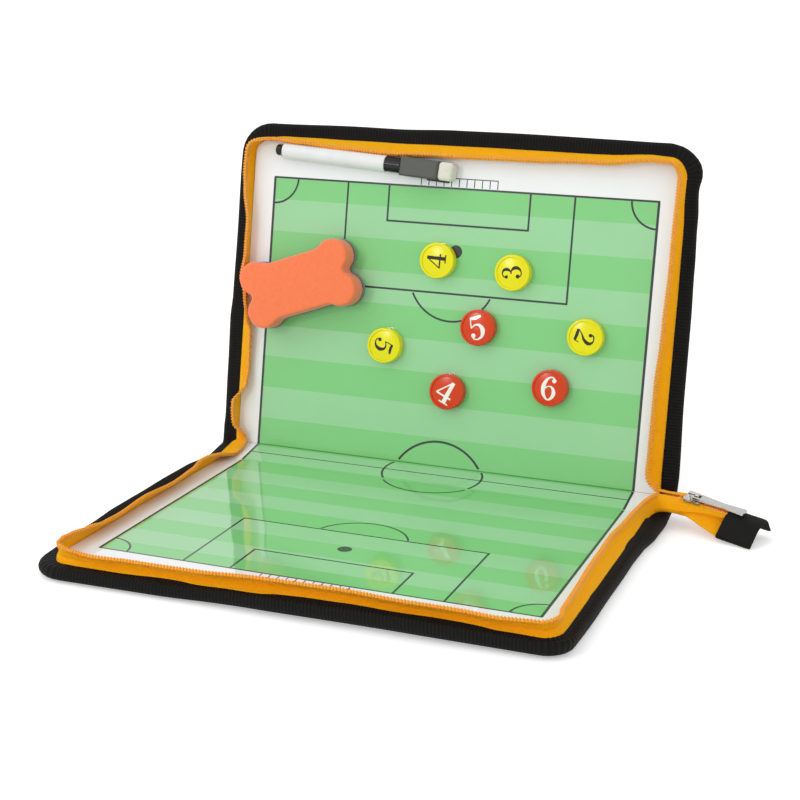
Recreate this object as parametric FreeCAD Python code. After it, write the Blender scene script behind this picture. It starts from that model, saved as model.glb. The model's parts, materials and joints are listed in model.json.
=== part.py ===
import FreeCAD, Part
import math
import os

# Folding magnetic tactics board: a padded zip case that opens into a lower and an upper half.
# X runs along the spine, the lower half lies towards -Y and the upper half stands behind it.
# The origin is the middle of the lower half's underside, and all lengths are in millimetres.

V = FreeCAD.Vector

# Case
CASE_WIDTH = 312.0
PANEL_REACH = 215.0
SPINE_WIDTH = 26.0
CORNER_RADIUS = 20.0
SPINE_RISE_DEG = 9.4
COVER_RISE_DEG = 71.0

# Layers of a half, from the pitch sheet down
SHEET_THICK = 0.8
STEEL_THICK = 0.4
BOARD_THICK = 3.3
BOARD_RECESS = 3.0
COVER_THICK = 8.0
SHEET_INSET = 11.3
STEEL_MARGIN = 2.0
CREASE_GAP = 0.3
SHEET_CREASE_GAP = 0.1
SEAT_GAP = 0.05
FOLD_CLOTH_THICK = 1.2

# Sewn edge binding
BINDING_THICK = 0.8
RIM_LIFT = 0.3
RIM_ROUND_SHARE = 0.47

# Zip round the case: the tape stands up from a foot that is sewn under the binding
ZIP_INSET = 10.0
TAPE_THICK = 1.0
TAPE_FOOT = 5.0
ZIP_RISE = 11.0
COIL_WIDTH = 2.4
COIL_HEIGHT = 3.0
COIL_ROUND_SHARE = 0.4

# Zip tail, a tent of two tapes with the coils along its ridge
TAIL_ROOT_INSET = 8.2
TAIL_ROOT_RISE = 6.6
TAIL_KNEE_OUT = 4.0
TAIL_KNEE_RISE = 5.6
TAIL_PLACE_SHARE = 0.63
TAIL_YAW_DEG = 15.9
TAIL_DIP_DEG = 3.8
TAIL_RUN = 34.0
TAIL_TAPE_THICK = 0.8
TAIL_TAPE_LAND = 3.0
TAIL_FRONT_SLOPE = 13.0
TAIL_FRONT_SLOPE_DEG = 40.0
TAIL_REAR_SLOPE = 12.0
TAIL_REAR_SLOPE_DEG = 55.0
TAIL_ROOT_SLOPE_SHARE = 0.45
TAIL_COIL_WIDTH = 2.1
TAIL_COIL_SPLIT = 1.8
TAIL_COIL_THICK = 2.4
TOOTH_PITCH = 1.6
TOOTH_GAP = 0.6
TOOTH_CORE_SHARE = 0.6
TAB_LENGTH = 22.0
TAB_THICK = 2.4

# Zip slider and pull
SLIDER_PLACE = 10.0
SLIDER_LENGTH = 11.0
SLIDER_MOUTH_WIDTH = 10.4
SLIDER_TAIL_WIDTH = 8.6
SLIDER_CORNER = 1.6
SLIDER_CLEAR = 0.35
PLATE_THICK = 1.1
POST_WIDTH = 1.1
POST_LENGTH = 3.0
BRIDGE_LENGTH = 7.2
BRIDGE_WIDTH = 2.2
BRIDGE_BAR = 1.2
WINDOW_HEIGHT = 2.4
PULL_LENGTH = 34.0
PULL_WIDTH = 6.5
PULL_THICK = 1.4
PULL_NECK_SHARE = 0.62
PULL_EYE_LENGTH = 3.0
PULL_EYE_CLEAR = 0.4

# Marker pen
PEN_TURN_DEG = -3.8
PEN_PLACE_SHARES = (-0.8745, 0.9715)
BARREL_RADIUS = 5.4
BARREL_WALL = 0.8
SHOULDER_LENGTH = 0.9
SHOULDER_DROP = 0.5
BARREL_LENGTH = 72.4
PLUG_HEAD_LENGTH = 3.6
PLUG_FLARE_LENGTH = 1.9
PLUG_RADIUS = 3.7
SPIGOT_LENGTH = 5.0
COLLAR_LENGTH = 11.3
COLLAR_RADIUS = 4.9
COLLAR_ROUND = 0.5
NOSE_LENGTH = 12.0
NOSE_ROOT_RADIUS = 3.6
NOSE_TIP_RADIUS = 2.1
NIB_RADIUS = 1.4
NIB_OUT = 4.0
NIB_IN = 8.0
CORE_END_GAP = 2.2
CAP_LENGTH = 26.0
CAP_WIDTH = 12.2
CAP_HEIGHT = 12.0
CAP_ROUND = 1.5
SOCKET_CLEAR = 0.4
FELT_LENGTH = 9.8
FELT_MARGIN = 0.3
FELT_ROUND = 2.2
CAP_MAGNET_IN = 10.0
CAP_MAGNET_OUT = 5.0
CAP_MAGNET_WIDTH = 6.0
CAP_MAGNET_PROUD = 0.8
CAP_MAGNET_THICK = 1.3
REST_GAP = 0.2

# Bone-shaped eraser
ERASER_TURN_DEG = 19.7
ERASER_SIDE_GAP = 1.3
ERASER_PLACE_SHARE = 0.545
LOBE_OUT = 28.5
LOBE_APART = 22.6
LOBE_RADIUS = 11.0
WAIST_WIDTH = 37.0
NOTCH_REACH = 34.0
WAIST_FILLET = 9.0
NOTCH_FILLET = 2.5
FOAM_THICK = 14.0
FOAM_ROUND = 1.6
ERASER_FELT_THICK = 4.5
ERASER_FELT_SPREAD = 0.3
ERASER_MAGNET_RADIUS = 6.0
ERASER_MAGNET_THICK = 2.0
ERASER_MAGNET_OUT = 22.0

# Round counters, placed as shares of the sheet's half width and of its reach
COUNTER_RADIUS = 11.5
COUNTER_HEIGHT = 6.5
COUNTER_RIM = 1.6
COUNTER_RIM_ROUND = 0.9
FACE_RECESS = 1.0
FACE_EDGE = 0.45
FACE_DOME = 0.75
MAGNET_RADIUS = 8.0
MAGNET_THICK = 2.6
COUNTER_PLACE_SHARES = {
    "yellow_2": (0.633, 0.458),
    "yellow_3": (0.285, 0.636),
    "yellow_4": (-0.066, 0.655),
    "yellow_5": (-0.287, 0.371),
    "red_4": (0.025, 0.245),
    "red_5": (0.146, 0.456),
    "red_6": (0.494, 0.291),
}

# Shared by all cuts, and the distance within which two points count as one
OVERRUN = 2.0
TOUCH = 0.001

# Levels of a half, measured up from the face of its pitch sheet
STEEL_TOP = -SHEET_THICK
BOARD_TOP = STEEL_TOP - STEEL_THICK
BOARD_SEAT = BOARD_TOP - BOARD_THICK
FLANGE = BOARD_SEAT + BOARD_RECESS
UNDERSIDE = FLANGE - COVER_THICK
FOOT_LOW = FLANGE - BINDING_THICK - SEAT_GAP - TAPE_THICK
COIL_LOW = ZIP_RISE - COIL_HEIGHT

# Insets from the case edge
TAPE_BACK = ZIP_INSET + TAPE_THICK
FOOT_INSET = ZIP_INSET - TAPE_FOOT
COIL_OUT_INSET = ZIP_INSET + (TAPE_THICK - COIL_WIDTH) / 2
COIL_IN_INSET = COIL_OUT_INSET + COIL_WIDTH

# Places of the two creases
LOWER_CREASE_Y = PANEL_REACH / 2
SHEET_LEVEL = -UNDERSIDE
SPINE_RISE = math.radians(SPINE_RISE_DEG)
LOWER_CREASE = V(0, LOWER_CREASE_Y, SHEET_LEVEL)
UPPER_CREASE = LOWER_CREASE + V(0, SPINE_WIDTH * math.cos(SPINE_RISE), SPINE_WIDTH * math.sin(SPINE_RISE))

# The sheet that the counters, pen and eraser are placed on
SHEET_HALF_WIDTH = CASE_WIDTH / 2 - SHEET_INSET
SHEET_REACH = PANEL_REACH - SHEET_INSET


# Shared shapes
def polygon_face(points):
    return Part.Face(Part.makePolygon(points + points[:1]))


def box(low, high):
    size = high - low
    return Part.makeBox(size.x, size.y, size.z, low)


def disc(radius, height, base, axis=V(0, 0, 1)):
    return Part.makeCylinder(radius, height, base, axis)


def revolved(profile):
    """Solid of a (radius, height) profile turned about Z."""
    face = polygon_face([V(radius, 0, height) for radius, height in profile])
    return face.revolve(V(0, 0, 0), V(0, 0, 1), 360)


def save(name, shape):
    shape.exportStep("parts/" + name + ".step")


# Plans of a half and of the spine, drawn in from the case edge and cut straight at the creases
def half_face(inset, start):
    side = CASE_WIDTH / 2 - inset
    end = PANEL_REACH - inset
    radius = CORNER_RADIUS - inset
    shoulder = end - radius
    bulge = radius / math.sqrt(2)
    edges = [Part.LineSegment(V(side, start, 0), V(side, shoulder, 0)).toShape()]
    for turn in (1, -1):
        middle = V(turn * (side - radius), shoulder, 0)
        ends = [middle + V(turn * radius, 0, 0), middle + V(0, radius, 0)]
        arc = Part.Arc(ends[0], middle + V(turn * bulge, bulge, 0), ends[1])
        edges.append(arc.toShape())
    edges.append(Part.LineSegment(V(side - radius, end, 0), V(radius - side, end, 0)).toShape())
    edges.append(Part.LineSegment(V(-side, shoulder, 0), V(-side, start, 0)).toShape())
    edges.append(Part.LineSegment(V(-side, start, 0), V(side, start, 0)).toShape())
    return Part.Face(Part.Wire(Part.__sortEdges__(edges)))


def spine_face(inset, start):
    side = CASE_WIDTH / 2 - inset
    end = SPINE_WIDTH - start
    return polygon_face([V(-side, start, 0), V(side, start, 0), V(side, end, 0), V(-side, end, 0)])


def half_ends(start):
    return [start]


def spine_ends(start):
    return [start, SPINE_WIDTH - start]


HALF = (half_face, half_ends)
SPINE = (spine_face, spine_ends)


def slab(plan, inset, start, low, high):
    face = plan[0](inset, start)
    face.translate(V(0, 0, low))
    return face.extrude(V(0, 0, high - low))


def round_long_edges(body, radius, ends):
    """Rounds the level edges, apart from those that lie on a cut end."""

    def is_long(edge):
        points = [vertex.Point for vertex in edge.Vertexes]
        level = abs(points[0].z - points[-1].z) < TOUCH
        cut = any(all(abs(point.y - end) < TOUCH for point in points) for end in ends)
        return level and not cut

    return body.makeFillet(radius, [edge for edge in body.Edges if is_long(edge)])


def rim(plan, inset, start):
    """Padded slab with full round edges, drawn in on all its outer faces by the inset."""
    low = UNDERSIDE + RIM_LIFT + inset
    high = FLANGE - inset
    body = slab(plan, inset, start, low, high)
    return round_long_edges(body, (high - low) * RIM_ROUND_SHARE, plan[1](start))


def mitre(at, run):
    """Wedge that slopes a standing wall back from a crease, so that two walls meet when it folds."""
    rise = ZIP_RISE + OVERRUN
    back = at - run * OVERRUN
    wedge = polygon_face([V(0, back, 0), V(0, at, 0), V(0, at + run * rise, rise), V(0, back, rise)])
    wedge.translate(V(-CASE_WIDTH / 2, 0, 0))
    return wedge.extrude(V(CASE_WIDTH, 0, 0))


# Pieces that the halves and the spine share
def padded_cover(plan):
    """Pad with a seat for the zip's foot and, within it, a deeper one for the board."""
    start = CREASE_GAP - OVERRUN
    core = rim(plan, BINDING_THICK + SEAT_GAP, CREASE_GAP)
    foot_seat = slab(plan, FOOT_INSET - SEAT_GAP, start, FOOT_LOW - SEAT_GAP, FLANGE)
    board_seat = slab(plan, SHEET_INSET - SEAT_GAP, start, BOARD_SEAT, FLANGE)
    floor = slab(plan, TAPE_BACK + SEAT_GAP, CREASE_GAP, UNDERSIDE, BOARD_SEAT)
    return core.cut(foot_seat).cut(board_seat).fuse(floor).removeSplitter()


def edge_binding(plan):
    shell = rim(plan, 0, CREASE_GAP).cut(rim(plan, BINDING_THICK, CREASE_GAP - OVERRUN))
    low = UNDERSIDE - OVERRUN
    high = FLANGE + OVERRUN
    return shell.cut(slab(plan, ZIP_INSET - SEAT_GAP, CREASE_GAP - OVERRUN, low, high))


def zip_tape(plan):
    wall = slab(plan, ZIP_INSET, CREASE_GAP, FOOT_LOW, COIL_LOW)
    foot = slab(plan, FOOT_INSET, CREASE_GAP, FOOT_LOW, FOOT_LOW + TAPE_THICK)
    hollow = slab(plan, TAPE_BACK, CREASE_GAP - OVERRUN, FOOT_LOW - OVERRUN, COIL_LOW + OVERRUN)
    return wall.fuse(foot).cut(hollow)


def zip_coil(plan):
    bead = slab(plan, COIL_OUT_INSET, CREASE_GAP, COIL_LOW, ZIP_RISE)
    start = CREASE_GAP - OVERRUN
    hollow = slab(plan, COIL_IN_INSET, start, COIL_LOW - OVERRUN, ZIP_RISE + OVERRUN)
    return round_long_edges(bead.cut(hollow), COIL_WIDTH * COIL_ROUND_SHARE, plan[1](CREASE_GAP))


def left_end(shape):
    return min(shape.Solids, key=lambda solid: solid.CenterOfMass.x)


def half_pieces():
    wedge = mitre(CREASE_GAP, 1)
    return {
        "cover": padded_cover(HALF),
        "edge_binding": edge_binding(HALF),
        "board": slab(HALF, SHEET_INSET, CREASE_GAP, BOARD_SEAT, BOARD_TOP),
        "steel_sheet": slab(HALF, SHEET_INSET + STEEL_MARGIN, STEEL_MARGIN, BOARD_TOP, STEEL_TOP),
        "pitch_sheet": slab(HALF, SHEET_INSET, SHEET_CREASE_GAP, STEEL_TOP, 0),
        "zip_tape": zip_tape(HALF).cut(wedge),
        "zip_coil": zip_coil(HALF).cut(wedge),
    }


def spine_pieces():
    wedges = mitre(CREASE_GAP, 1).fuse(mitre(SPINE_WIDTH - CREASE_GAP, -1))
    return {
        "spine_cover": padded_cover(SPINE),
        "spine_edge_binding": edge_binding(SPINE),
        "spine_filler": slab(SPINE, SHEET_INSET, CREASE_GAP, BOARD_SEAT, STEEL_TOP),
        "spine_pitch_sheet": slab(SPINE, SHEET_INSET, SHEET_CREASE_GAP, STEEL_TOP, 0),
        "spine_zip_tape": left_end(zip_tape(SPINE)).cut(wedges),
        "spine_zip_coil": left_end(zip_coil(SPINE)).cut(wedges),
        "rear_fold_cloth": rear_fold_cloth(),
    }


def rear_fold_cloth():
    """Outer cloth that bends from the spine round to the upper half."""
    low = UNDERSIDE + RIM_LIFT
    side = CASE_WIDTH / 2
    start = V(-side, SPINE_WIDTH, low)
    across = V(CASE_WIDTH, 0, 0)
    up = V(0, 0, FOLD_CLOTH_THICK)
    strip = polygon_face([start, start + across, start + across + up, start + up])
    return strip.revolve(V(0, SPINE_WIDTH, 0), V(1, 0, 0), COVER_RISE_DEG)


# Zip tail, in the spine's own frame
TAIL_YAW = math.radians(TAIL_YAW_DEG)
TAIL_DIP = math.radians(TAIL_DIP_DEG)
TAIL_AHEAD = V(math.cos(TAIL_YAW), -math.sin(TAIL_YAW), 0)
TAIL_ACROSS = V(math.sin(TAIL_YAW), math.cos(TAIL_YAW), 0)
TAIL_ALONG = TAIL_AHEAD * math.cos(TAIL_DIP) - V(0, 0, math.sin(TAIL_DIP))
TAIL_UP = TAIL_ALONG.cross(TAIL_ACROSS)
TAIL_PLACE = SPINE_WIDTH * TAIL_PLACE_SHARE
TAIL_ROOT = V(CASE_WIDTH / 2 - TAIL_ROOT_INSET, TAIL_PLACE, TAIL_ROOT_RISE)
TAIL_KNEE = V(CASE_WIDTH / 2 + TAIL_KNEE_OUT, TAIL_PLACE, TAIL_KNEE_RISE)
TAIL_SLOPES = {
    -1: (TAIL_FRONT_SLOPE, math.radians(TAIL_FRONT_SLOPE_DEG)),
    1: (TAIL_REAR_SLOPE, math.radians(TAIL_REAR_SLOPE_DEG)),
}


def tail_span(section, start, end):
    """Straight stretch of a section of (across, up) points, from start to end along the tail."""
    points = [TAIL_KNEE + TAIL_ALONG * start + TAIL_ACROSS * a + TAIL_UP * u for a, u in section]
    return polygon_face(points).extrude(TAIL_ALONG * (end - start))


def tail_root_span(root_section, section):
    """Stretch from the spine's end to the knee, where the tail turns towards the lower half."""
    root = [TAIL_ROOT + V(0, a, u) for a, u in root_section]
    knee = [TAIL_KNEE + TAIL_ACROSS * a + TAIL_UP * u for a, u in section]
    wires = [Part.makePolygon(points + points[:1]) for points in (root, knee)]
    return Part.makeLoft(wires, True, True)


def tail_run(root_section, section):
    root = tail_root_span(root_section, section)
    return root.fuse(tail_span(section, 0, TAIL_RUN)).removeSplitter()


def tape_section(side, thick, start, share):
    """One slope of the tent: a flat land beside the ridge, then a share of its straight fall."""
    slope, fall = TAIL_SLOPES[side]
    bend = TAIL_COIL_SPLIT / 2 + TAIL_COIL_WIDTH + TAIL_TAPE_LAND
    tuck = thick * math.tan(fall / 2)
    tip = (bend + slope * share * math.cos(fall), thick / 2 - slope * share * math.sin(fall))
    under = (tip[0] - thick * math.sin(fall), tip[1] - thick * math.cos(fall))
    half = thick / 2
    outline = [(start, half), (bend, half), tip, under, (bend - tuck, -half), (start, -half)]
    return [(side * a, u) for a, u in outline]


def coil_section(side, share):
    """Section of a coil, drawn in to a share of its size from the edge that is sewn to the tape."""
    far = TAIL_COIL_SPLIT / 2 + TAIL_COIL_WIDTH
    near = far - TAIL_COIL_WIDTH * share
    half = TAIL_COIL_THICK * share / 2
    corner = TAIL_COIL_WIDTH * share * COIL_ROUND_SHARE
    outline = [
        (near, half - corner),
        (near + corner, half),
        (far - corner, half),
        (far, half - corner),
        (far, corner - half),
        (far - corner, -half),
        (near + corner, -half),
        (near, corner - half),
    ]
    return [(side * a, u) for a, u in outline]


def tail_coil(side):
    """Core along the tape's edge with a row of teeth that face the other coil."""
    core_section = coil_section(side, TOOTH_CORE_SHARE)
    core = tail_run(core_section, core_section)
    tooth = coil_section(side, 1)
    count = int(TAIL_RUN / TOOTH_PITCH)
    starts = [TOOTH_PITCH * index + TOOTH_GAP for index in range(count)]
    return core.fuse([tail_span(tooth, start, start + TOOTH_PITCH - TOOTH_GAP) for start in starts])


def tail_pieces():
    start = TAIL_COIL_SPLIT / 2 + TAIL_COIL_WIDTH + SEAT_GAP
    pieces = {}
    for name, side in (("tail_front_tape", -1), ("tail_rear_tape", 1)):
        root_section = tape_section(side, TAIL_TAPE_THICK, start, TAIL_ROOT_SLOPE_SHARE)
        pieces[name] = tail_run(root_section, tape_section(side, TAIL_TAPE_THICK, start, 1))
    pieces["tail_zip_coil"] = Part.makeCompound([tail_coil(side) for side in (-1, 1)])
    end = TAIL_RUN + SEAT_GAP
    slopes = [tail_span(tape_section(side, TAB_THICK, 0, 1), end, end + TAB_LENGTH) for side in (-1, 1)]
    pieces["tail_end_tab"] = slopes[0].fuse(slopes[1]).removeSplitter()
    return pieces


def on_tail(shape):
    """Moves a shape made about the slider's middle, with X along the tail, to its place."""
    place = TAIL_KNEE + TAIL_ALONG * SLIDER_PLACE
    rows = zip(TAIL_ALONG, TAIL_ACROSS, TAIL_UP, place)
    matrix = FreeCAD.Matrix(*[value for row in rows for value in row], 0, 0, 0, 1)
    shape.Placement = FreeCAD.Placement(matrix).multiply(shape.Placement)
    return shape


# Zip slider and pull, about the slider's middle
PLATE_LOW = TAIL_COIL_THICK / 2 + SLIDER_CLEAR
PLATE_HIGH = PLATE_LOW + PLATE_THICK
CHAIN_SIDE = TAIL_COIL_SPLIT / 2 + TAIL_COIL_WIDTH + SLIDER_CLEAR
PIVOT_X = BRIDGE_LENGTH / 2 - BRIDGE_BAR - PULL_THICK
PIVOT_UP = PLATE_HIGH + WINDOW_HEIGHT / 2


def slider_plate(side):
    mouth = SLIDER_MOUTH_WIDTH / 2
    tail = SLIDER_TAIL_WIDTH / 2
    front = -SLIDER_LENGTH / 2
    outline = [V(front, -mouth, 0), V(0, -tail, 0), V(-front, -tail, 0)]
    outline += [V(point.x, -point.y, 0) for point in reversed(outline)]
    plate = polygon_face(outline).extrude(V(0, 0, PLATE_THICK))
    upright = [edge for edge in plate.Edges if abs(edge.Vertexes[0].Z - edge.Vertexes[-1].Z) > TOUCH]
    plate = plate.makeFillet(SLIDER_CORNER, [edge for edge in upright if abs(edge.Vertexes[0].X) > TOUCH])
    plate.translate(V(0, 0, PLATE_LOW if side > 0 else -PLATE_HIGH))
    return plate


def slider_flange(across, side):
    slot = TAIL_TAPE_THICK / 2 + SLIDER_CLEAR
    near = across * CHAIN_SIDE
    far = across * SLIDER_TAIL_WIDTH / 2
    low = V(0, min(near, far), min(side * slot, side * PLATE_LOW))
    high = V(SLIDER_LENGTH / 2 - SLIDER_CORNER, max(near, far), max(side * slot, side * PLATE_LOW))
    return box(low, high)


def zip_slider():
    body = slider_plate(1).fuse(slider_plate(-1))
    for across in (-1, 1):
        for side in (-1, 1):
            body = body.fuse(slider_flange(across, side))
    front = -SLIDER_LENGTH / 2
    half_post = POST_WIDTH / 2
    body = body.fuse(box(V(front, -half_post, -PLATE_LOW), V(front + POST_LENGTH, half_post, PLATE_LOW)))
    half_bridge = BRIDGE_WIDTH / 2
    arch_high = PLATE_HIGH + WINDOW_HEIGHT + BRIDGE_BAR
    arch_x = BRIDGE_LENGTH / 2
    arch = box(V(-arch_x, -half_bridge, PLATE_HIGH), V(arch_x, half_bridge, arch_high))
    window_x = arch_x - BRIDGE_BAR
    window_high = PLATE_HIGH + WINDOW_HEIGHT
    arch = arch.cut(box(V(-window_x, -OVERRUN, PLATE_HIGH), V(window_x, OVERRUN, window_high)))
    crown = [edge for edge in arch.Edges if is_crown(edge, arch_high)]
    return body.fuse(arch.makeFillet(BRIDGE_BAR * RIM_ROUND_SHARE, crown)).removeSplitter()


def is_crown(edge, level):
    return all(abs(vertex.Z - level) < TOUCH for vertex in edge.Vertexes)


def zip_pull():
    half = PULL_WIDTH / 2
    neck = half * PULL_NECK_SHARE
    eye = BRIDGE_WIDTH / 2 + PULL_EYE_CLEAR
    back = PIVOT_X - PULL_THICK / 2
    eye_start = PIVOT_X + PULL_THICK / 2
    eye_end = eye_start + PULL_EYE_LENGTH
    end = back + PULL_LENGTH
    outline = [V(back, -half, 0), V(eye_end, -half, 0), V((eye_end + end) / 2, -neck, 0), V(end, -half, 0)]
    outline += [V(point.x, -point.y, 0) for point in reversed(outline)]
    plate = polygon_face(outline).extrude(V(0, 0, PULL_THICK))
    tips = [edge for edge in plate.Edges if all(abs(vertex.X - end) < TOUCH for vertex in edge.Vertexes)]
    upright = [edge for edge in tips if abs(edge.Vertexes[0].Z - edge.Vertexes[-1].Z) > TOUCH]
    plate = plate.makeFillet(neck, upright)
    plate = plate.cut(box(V(eye_start, -eye, -OVERRUN), V(eye_end, eye, PULL_THICK + OVERRUN)))
    plate.translate(V(0, 0, PIVOT_UP - PULL_THICK / 2))
    return plate


# Marker pen, made along X from its left tip, with its axis on the X axis
AXIS_X = V(1, 0, 0)
BARREL_START = PLUG_HEAD_LENGTH + PLUG_FLARE_LENGTH
BARREL_NECK = BARREL_RADIUS - SHOULDER_DROP
BARREL_END = BARREL_START + BARREL_LENGTH
COLLAR_END = BARREL_END + COLLAR_LENGTH
CAP_START = COLLAR_END + SEAT_GAP
CAP_END = CAP_START + CAP_LENGTH
BORE_RADIUS = BARREL_RADIUS - BARREL_WALL
SPIGOT_RADIUS = BORE_RADIUS - SEAT_GAP
PEN_AXIS_RISE = CAP_HEIGHT / 2 + REST_GAP


def rod(radius, start, end):
    return disc(radius, end - start, V(start, 0, 0), AXIS_X)


def pen_barrel():
    """Tube with a tapered shoulder at the plug."""
    shoulder = Part.makeCone(BARREL_NECK, BARREL_RADIUS, SHOULDER_LENGTH, V(BARREL_START, 0, 0), AXIS_X)
    body = shoulder.fuse(rod(BARREL_RADIUS, BARREL_START + SHOULDER_LENGTH, BARREL_END))
    return body.cut(rod(BORE_RADIUS, 0, BARREL_END + OVERRUN))


def pen_end_plug():
    """Round button that flares out to the barrel, with a spigot inside it."""
    head = rod(PLUG_RADIUS, 0, PLUG_HEAD_LENGTH)
    rounded = [edge for edge in head.Edges if abs(edge.CenterOfMass.x) < TOUCH]
    head = head.makeFillet(PLUG_HEAD_LENGTH * RIM_ROUND_SHARE, rounded)
    flare = Part.makeCone(PLUG_RADIUS, BARREL_NECK, PLUG_FLARE_LENGTH, V(PLUG_HEAD_LENGTH, 0, 0), AXIS_X)
    spigot = rod(SPIGOT_RADIUS, BARREL_START, BARREL_START + SPIGOT_LENGTH)
    return head.fuse([flare, spigot]).removeSplitter()


def pen_collar():
    """Grip ring, with a spigot in the barrel and a tapered nose for the nib."""
    body = rod(COLLAR_RADIUS, BARREL_END, COLLAR_END)
    body = body.makeFillet(COLLAR_ROUND, [edge for edge in body.Edges if edge.Closed])
    body = body.fuse(rod(SPIGOT_RADIUS, BARREL_END - SPIGOT_LENGTH, BARREL_END))
    nose = Part.makeCone(NOSE_ROOT_RADIUS, NOSE_TIP_RADIUS, NOSE_LENGTH, V(COLLAR_END, 0, 0), AXIS_X)
    nib_start = COLLAR_END + NOSE_LENGTH - NIB_IN
    bore = rod(NIB_RADIUS + SEAT_GAP, nib_start - SEAT_GAP, COLLAR_END + NOSE_LENGTH + OVERRUN)
    return body.fuse(nose).removeSplitter().cut(bore)


def pen_nib():
    tip = COLLAR_END + NOSE_LENGTH + NIB_OUT
    nib = rod(NIB_RADIUS, tip - NIB_OUT - NIB_IN, tip)
    rounded = [edge for edge in nib.Edges if abs(edge.CenterOfMass.x - tip) < TOUCH]
    return nib.makeFillet(NIB_RADIUS * RIM_ROUND_SHARE, rounded)


def pen_ink_core():
    inset = SPIGOT_LENGTH + CORE_END_GAP
    return rod(BORE_RADIUS - SEAT_GAP, BARREL_START + inset, BARREL_END - inset)


def magnet_box(grow):
    """Flat bar under the cap's end, a little proud of its lower side, that runs on under the felt."""
    start = CAP_END - CAP_MAGNET_IN - grow
    end = CAP_END + CAP_MAGNET_OUT + grow
    side = -CAP_WIDTH / 2 - CAP_MAGNET_PROUD
    low = -CAP_HEIGHT / 2
    high = low + CAP_MAGNET_THICK + grow
    return box(V(start, side - grow, low), V(end, side + CAP_MAGNET_WIDTH + grow, high))


def pen_cap():
    half_wide = CAP_WIDTH / 2
    half_high = CAP_HEIGHT / 2
    block = box(V(CAP_START, -half_wide, -half_high), V(CAP_END, half_wide, half_high))
    block = block.makeFillet(CAP_ROUND, [edge for edge in block.Edges if edge.Length > CAP_HEIGHT + TOUCH])
    bore_radius = NOSE_ROOT_RADIUS + SOCKET_CLEAR
    bore_end = COLLAR_END + NOSE_LENGTH + NIB_OUT + SOCKET_CLEAR
    return block.cut(rod(bore_radius, CAP_START - OVERRUN, bore_end)).cut(magnet_box(SEAT_GAP))


def pen_cap_felt():
    half_wide = CAP_WIDTH / 2 - FELT_MARGIN
    half_high = CAP_HEIGHT / 2 - FELT_MARGIN
    block = box(V(CAP_END, -half_wide, -half_high), V(CAP_END + FELT_LENGTH, half_wide, half_high))
    return block.makeFillet(FELT_ROUND, block.Edges).cut(magnet_box(SEAT_GAP))


def on_sheet(shape, x, reach, rise, turn):
    """Turns a piece in the sheet's plane and sets it at a place and height over the sheet."""
    shape.rotate(V(0, 0, 0), V(0, 0, 1), turn)
    shape.translate(V(x, reach, rise))


def pen_pieces():
    x = PEN_PLACE_SHARES[0] * SHEET_HALF_WIDTH
    reach = PEN_PLACE_SHARES[1] * SHEET_REACH
    pieces = {
        "pen_barrel": pen_barrel(),
        "pen_end_plug": pen_end_plug(),
        "pen_collar": pen_collar(),
        "pen_nib": pen_nib(),
        "pen_ink_core": pen_ink_core(),
        "pen_cap": pen_cap(),
        "pen_cap_felt": pen_cap_felt(),
        "pen_cap_magnet": magnet_box(0),
    }
    for shape in pieces.values():
        on_sheet(shape, x, reach, PEN_AXIS_RISE, PEN_TURN_DEG)
    return pieces


# Bone-shaped eraser, about its middle with its felt face at height zero
def bone(shrink, low, high):
    """Four round lobes and a waist, drawn in by the shrink or, where it is negative, let out."""
    radius = LOBE_RADIUS - shrink
    out_y = LOBE_APART / 2
    waist = WAIST_WIDTH / 2 - shrink
    notch = NOTCH_REACH - shrink
    body = box(V(-LOBE_OUT, -waist, low), V(LOBE_OUT, waist, high))
    body = body.fuse(box(V(-notch, -out_y, low), V(notch, out_y, high)))
    lobes = [disc(radius, high - low, V(x * LOBE_OUT, y * out_y, low)) for x in (-1, 1) for y in (-1, 1)]
    body = body.fuse(lobes).removeSplitter()
    upright = [edge for edge in body.Edges if abs(edge.Vertexes[0].Z - edge.Vertexes[-1].Z) > TOUCH]
    waist_edges = [edge for edge in upright if abs(abs(edge.Vertexes[0].Y) - waist) < TOUCH]
    body = body.makeFillet(WAIST_FILLET + shrink, waist_edges)
    upright = [edge for edge in body.Edges if abs(edge.Vertexes[0].Z - edge.Vertexes[-1].Z) > TOUCH]
    notch_edges = [edge for edge in upright if abs(abs(edge.Vertexes[0].X) - notch) < TOUCH]
    return body.makeFillet(NOTCH_FILLET, notch_edges)


def eraser_magnet_discs(grow):
    radius = ERASER_MAGNET_RADIUS + grow
    height = ERASER_MAGNET_THICK + grow
    return [disc(radius, height, V(side * ERASER_MAGNET_OUT, 0, ERASER_FELT_THICK)) for side in (-1, 1)]


def eraser_foam():
    top = ERASER_FELT_THICK + FOAM_THICK
    foam = bone(0, ERASER_FELT_THICK, top)
    foam = foam.makeFillet(FOAM_ROUND, [edge for edge in foam.Edges if is_crown(edge, top)])
    for pocket in eraser_magnet_discs(SEAT_GAP):
        foam = foam.cut(pocket)
    return foam


def eraser_pieces():
    turn = math.radians(ERASER_TURN_DEG)
    lobe = LOBE_RADIUS + ERASER_FELT_SPREAD
    reach = LOBE_OUT * math.cos(turn) + LOBE_APART / 2 * math.sin(turn) + lobe
    x = COIL_IN_INSET - CASE_WIDTH / 2 + ERASER_SIDE_GAP + reach
    pieces = {
        "eraser_foam": eraser_foam(),
        "eraser_felt": bone(-ERASER_FELT_SPREAD, 0, ERASER_FELT_THICK),
        "eraser_magnets": Part.makeCompound(eraser_magnet_discs(0)),
    }
    for shape in pieces.values():
        on_sheet(shape, x, ERASER_PLACE_SHARE * SHEET_REACH, REST_GAP, ERASER_TURN_DEG)
    return pieces


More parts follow.
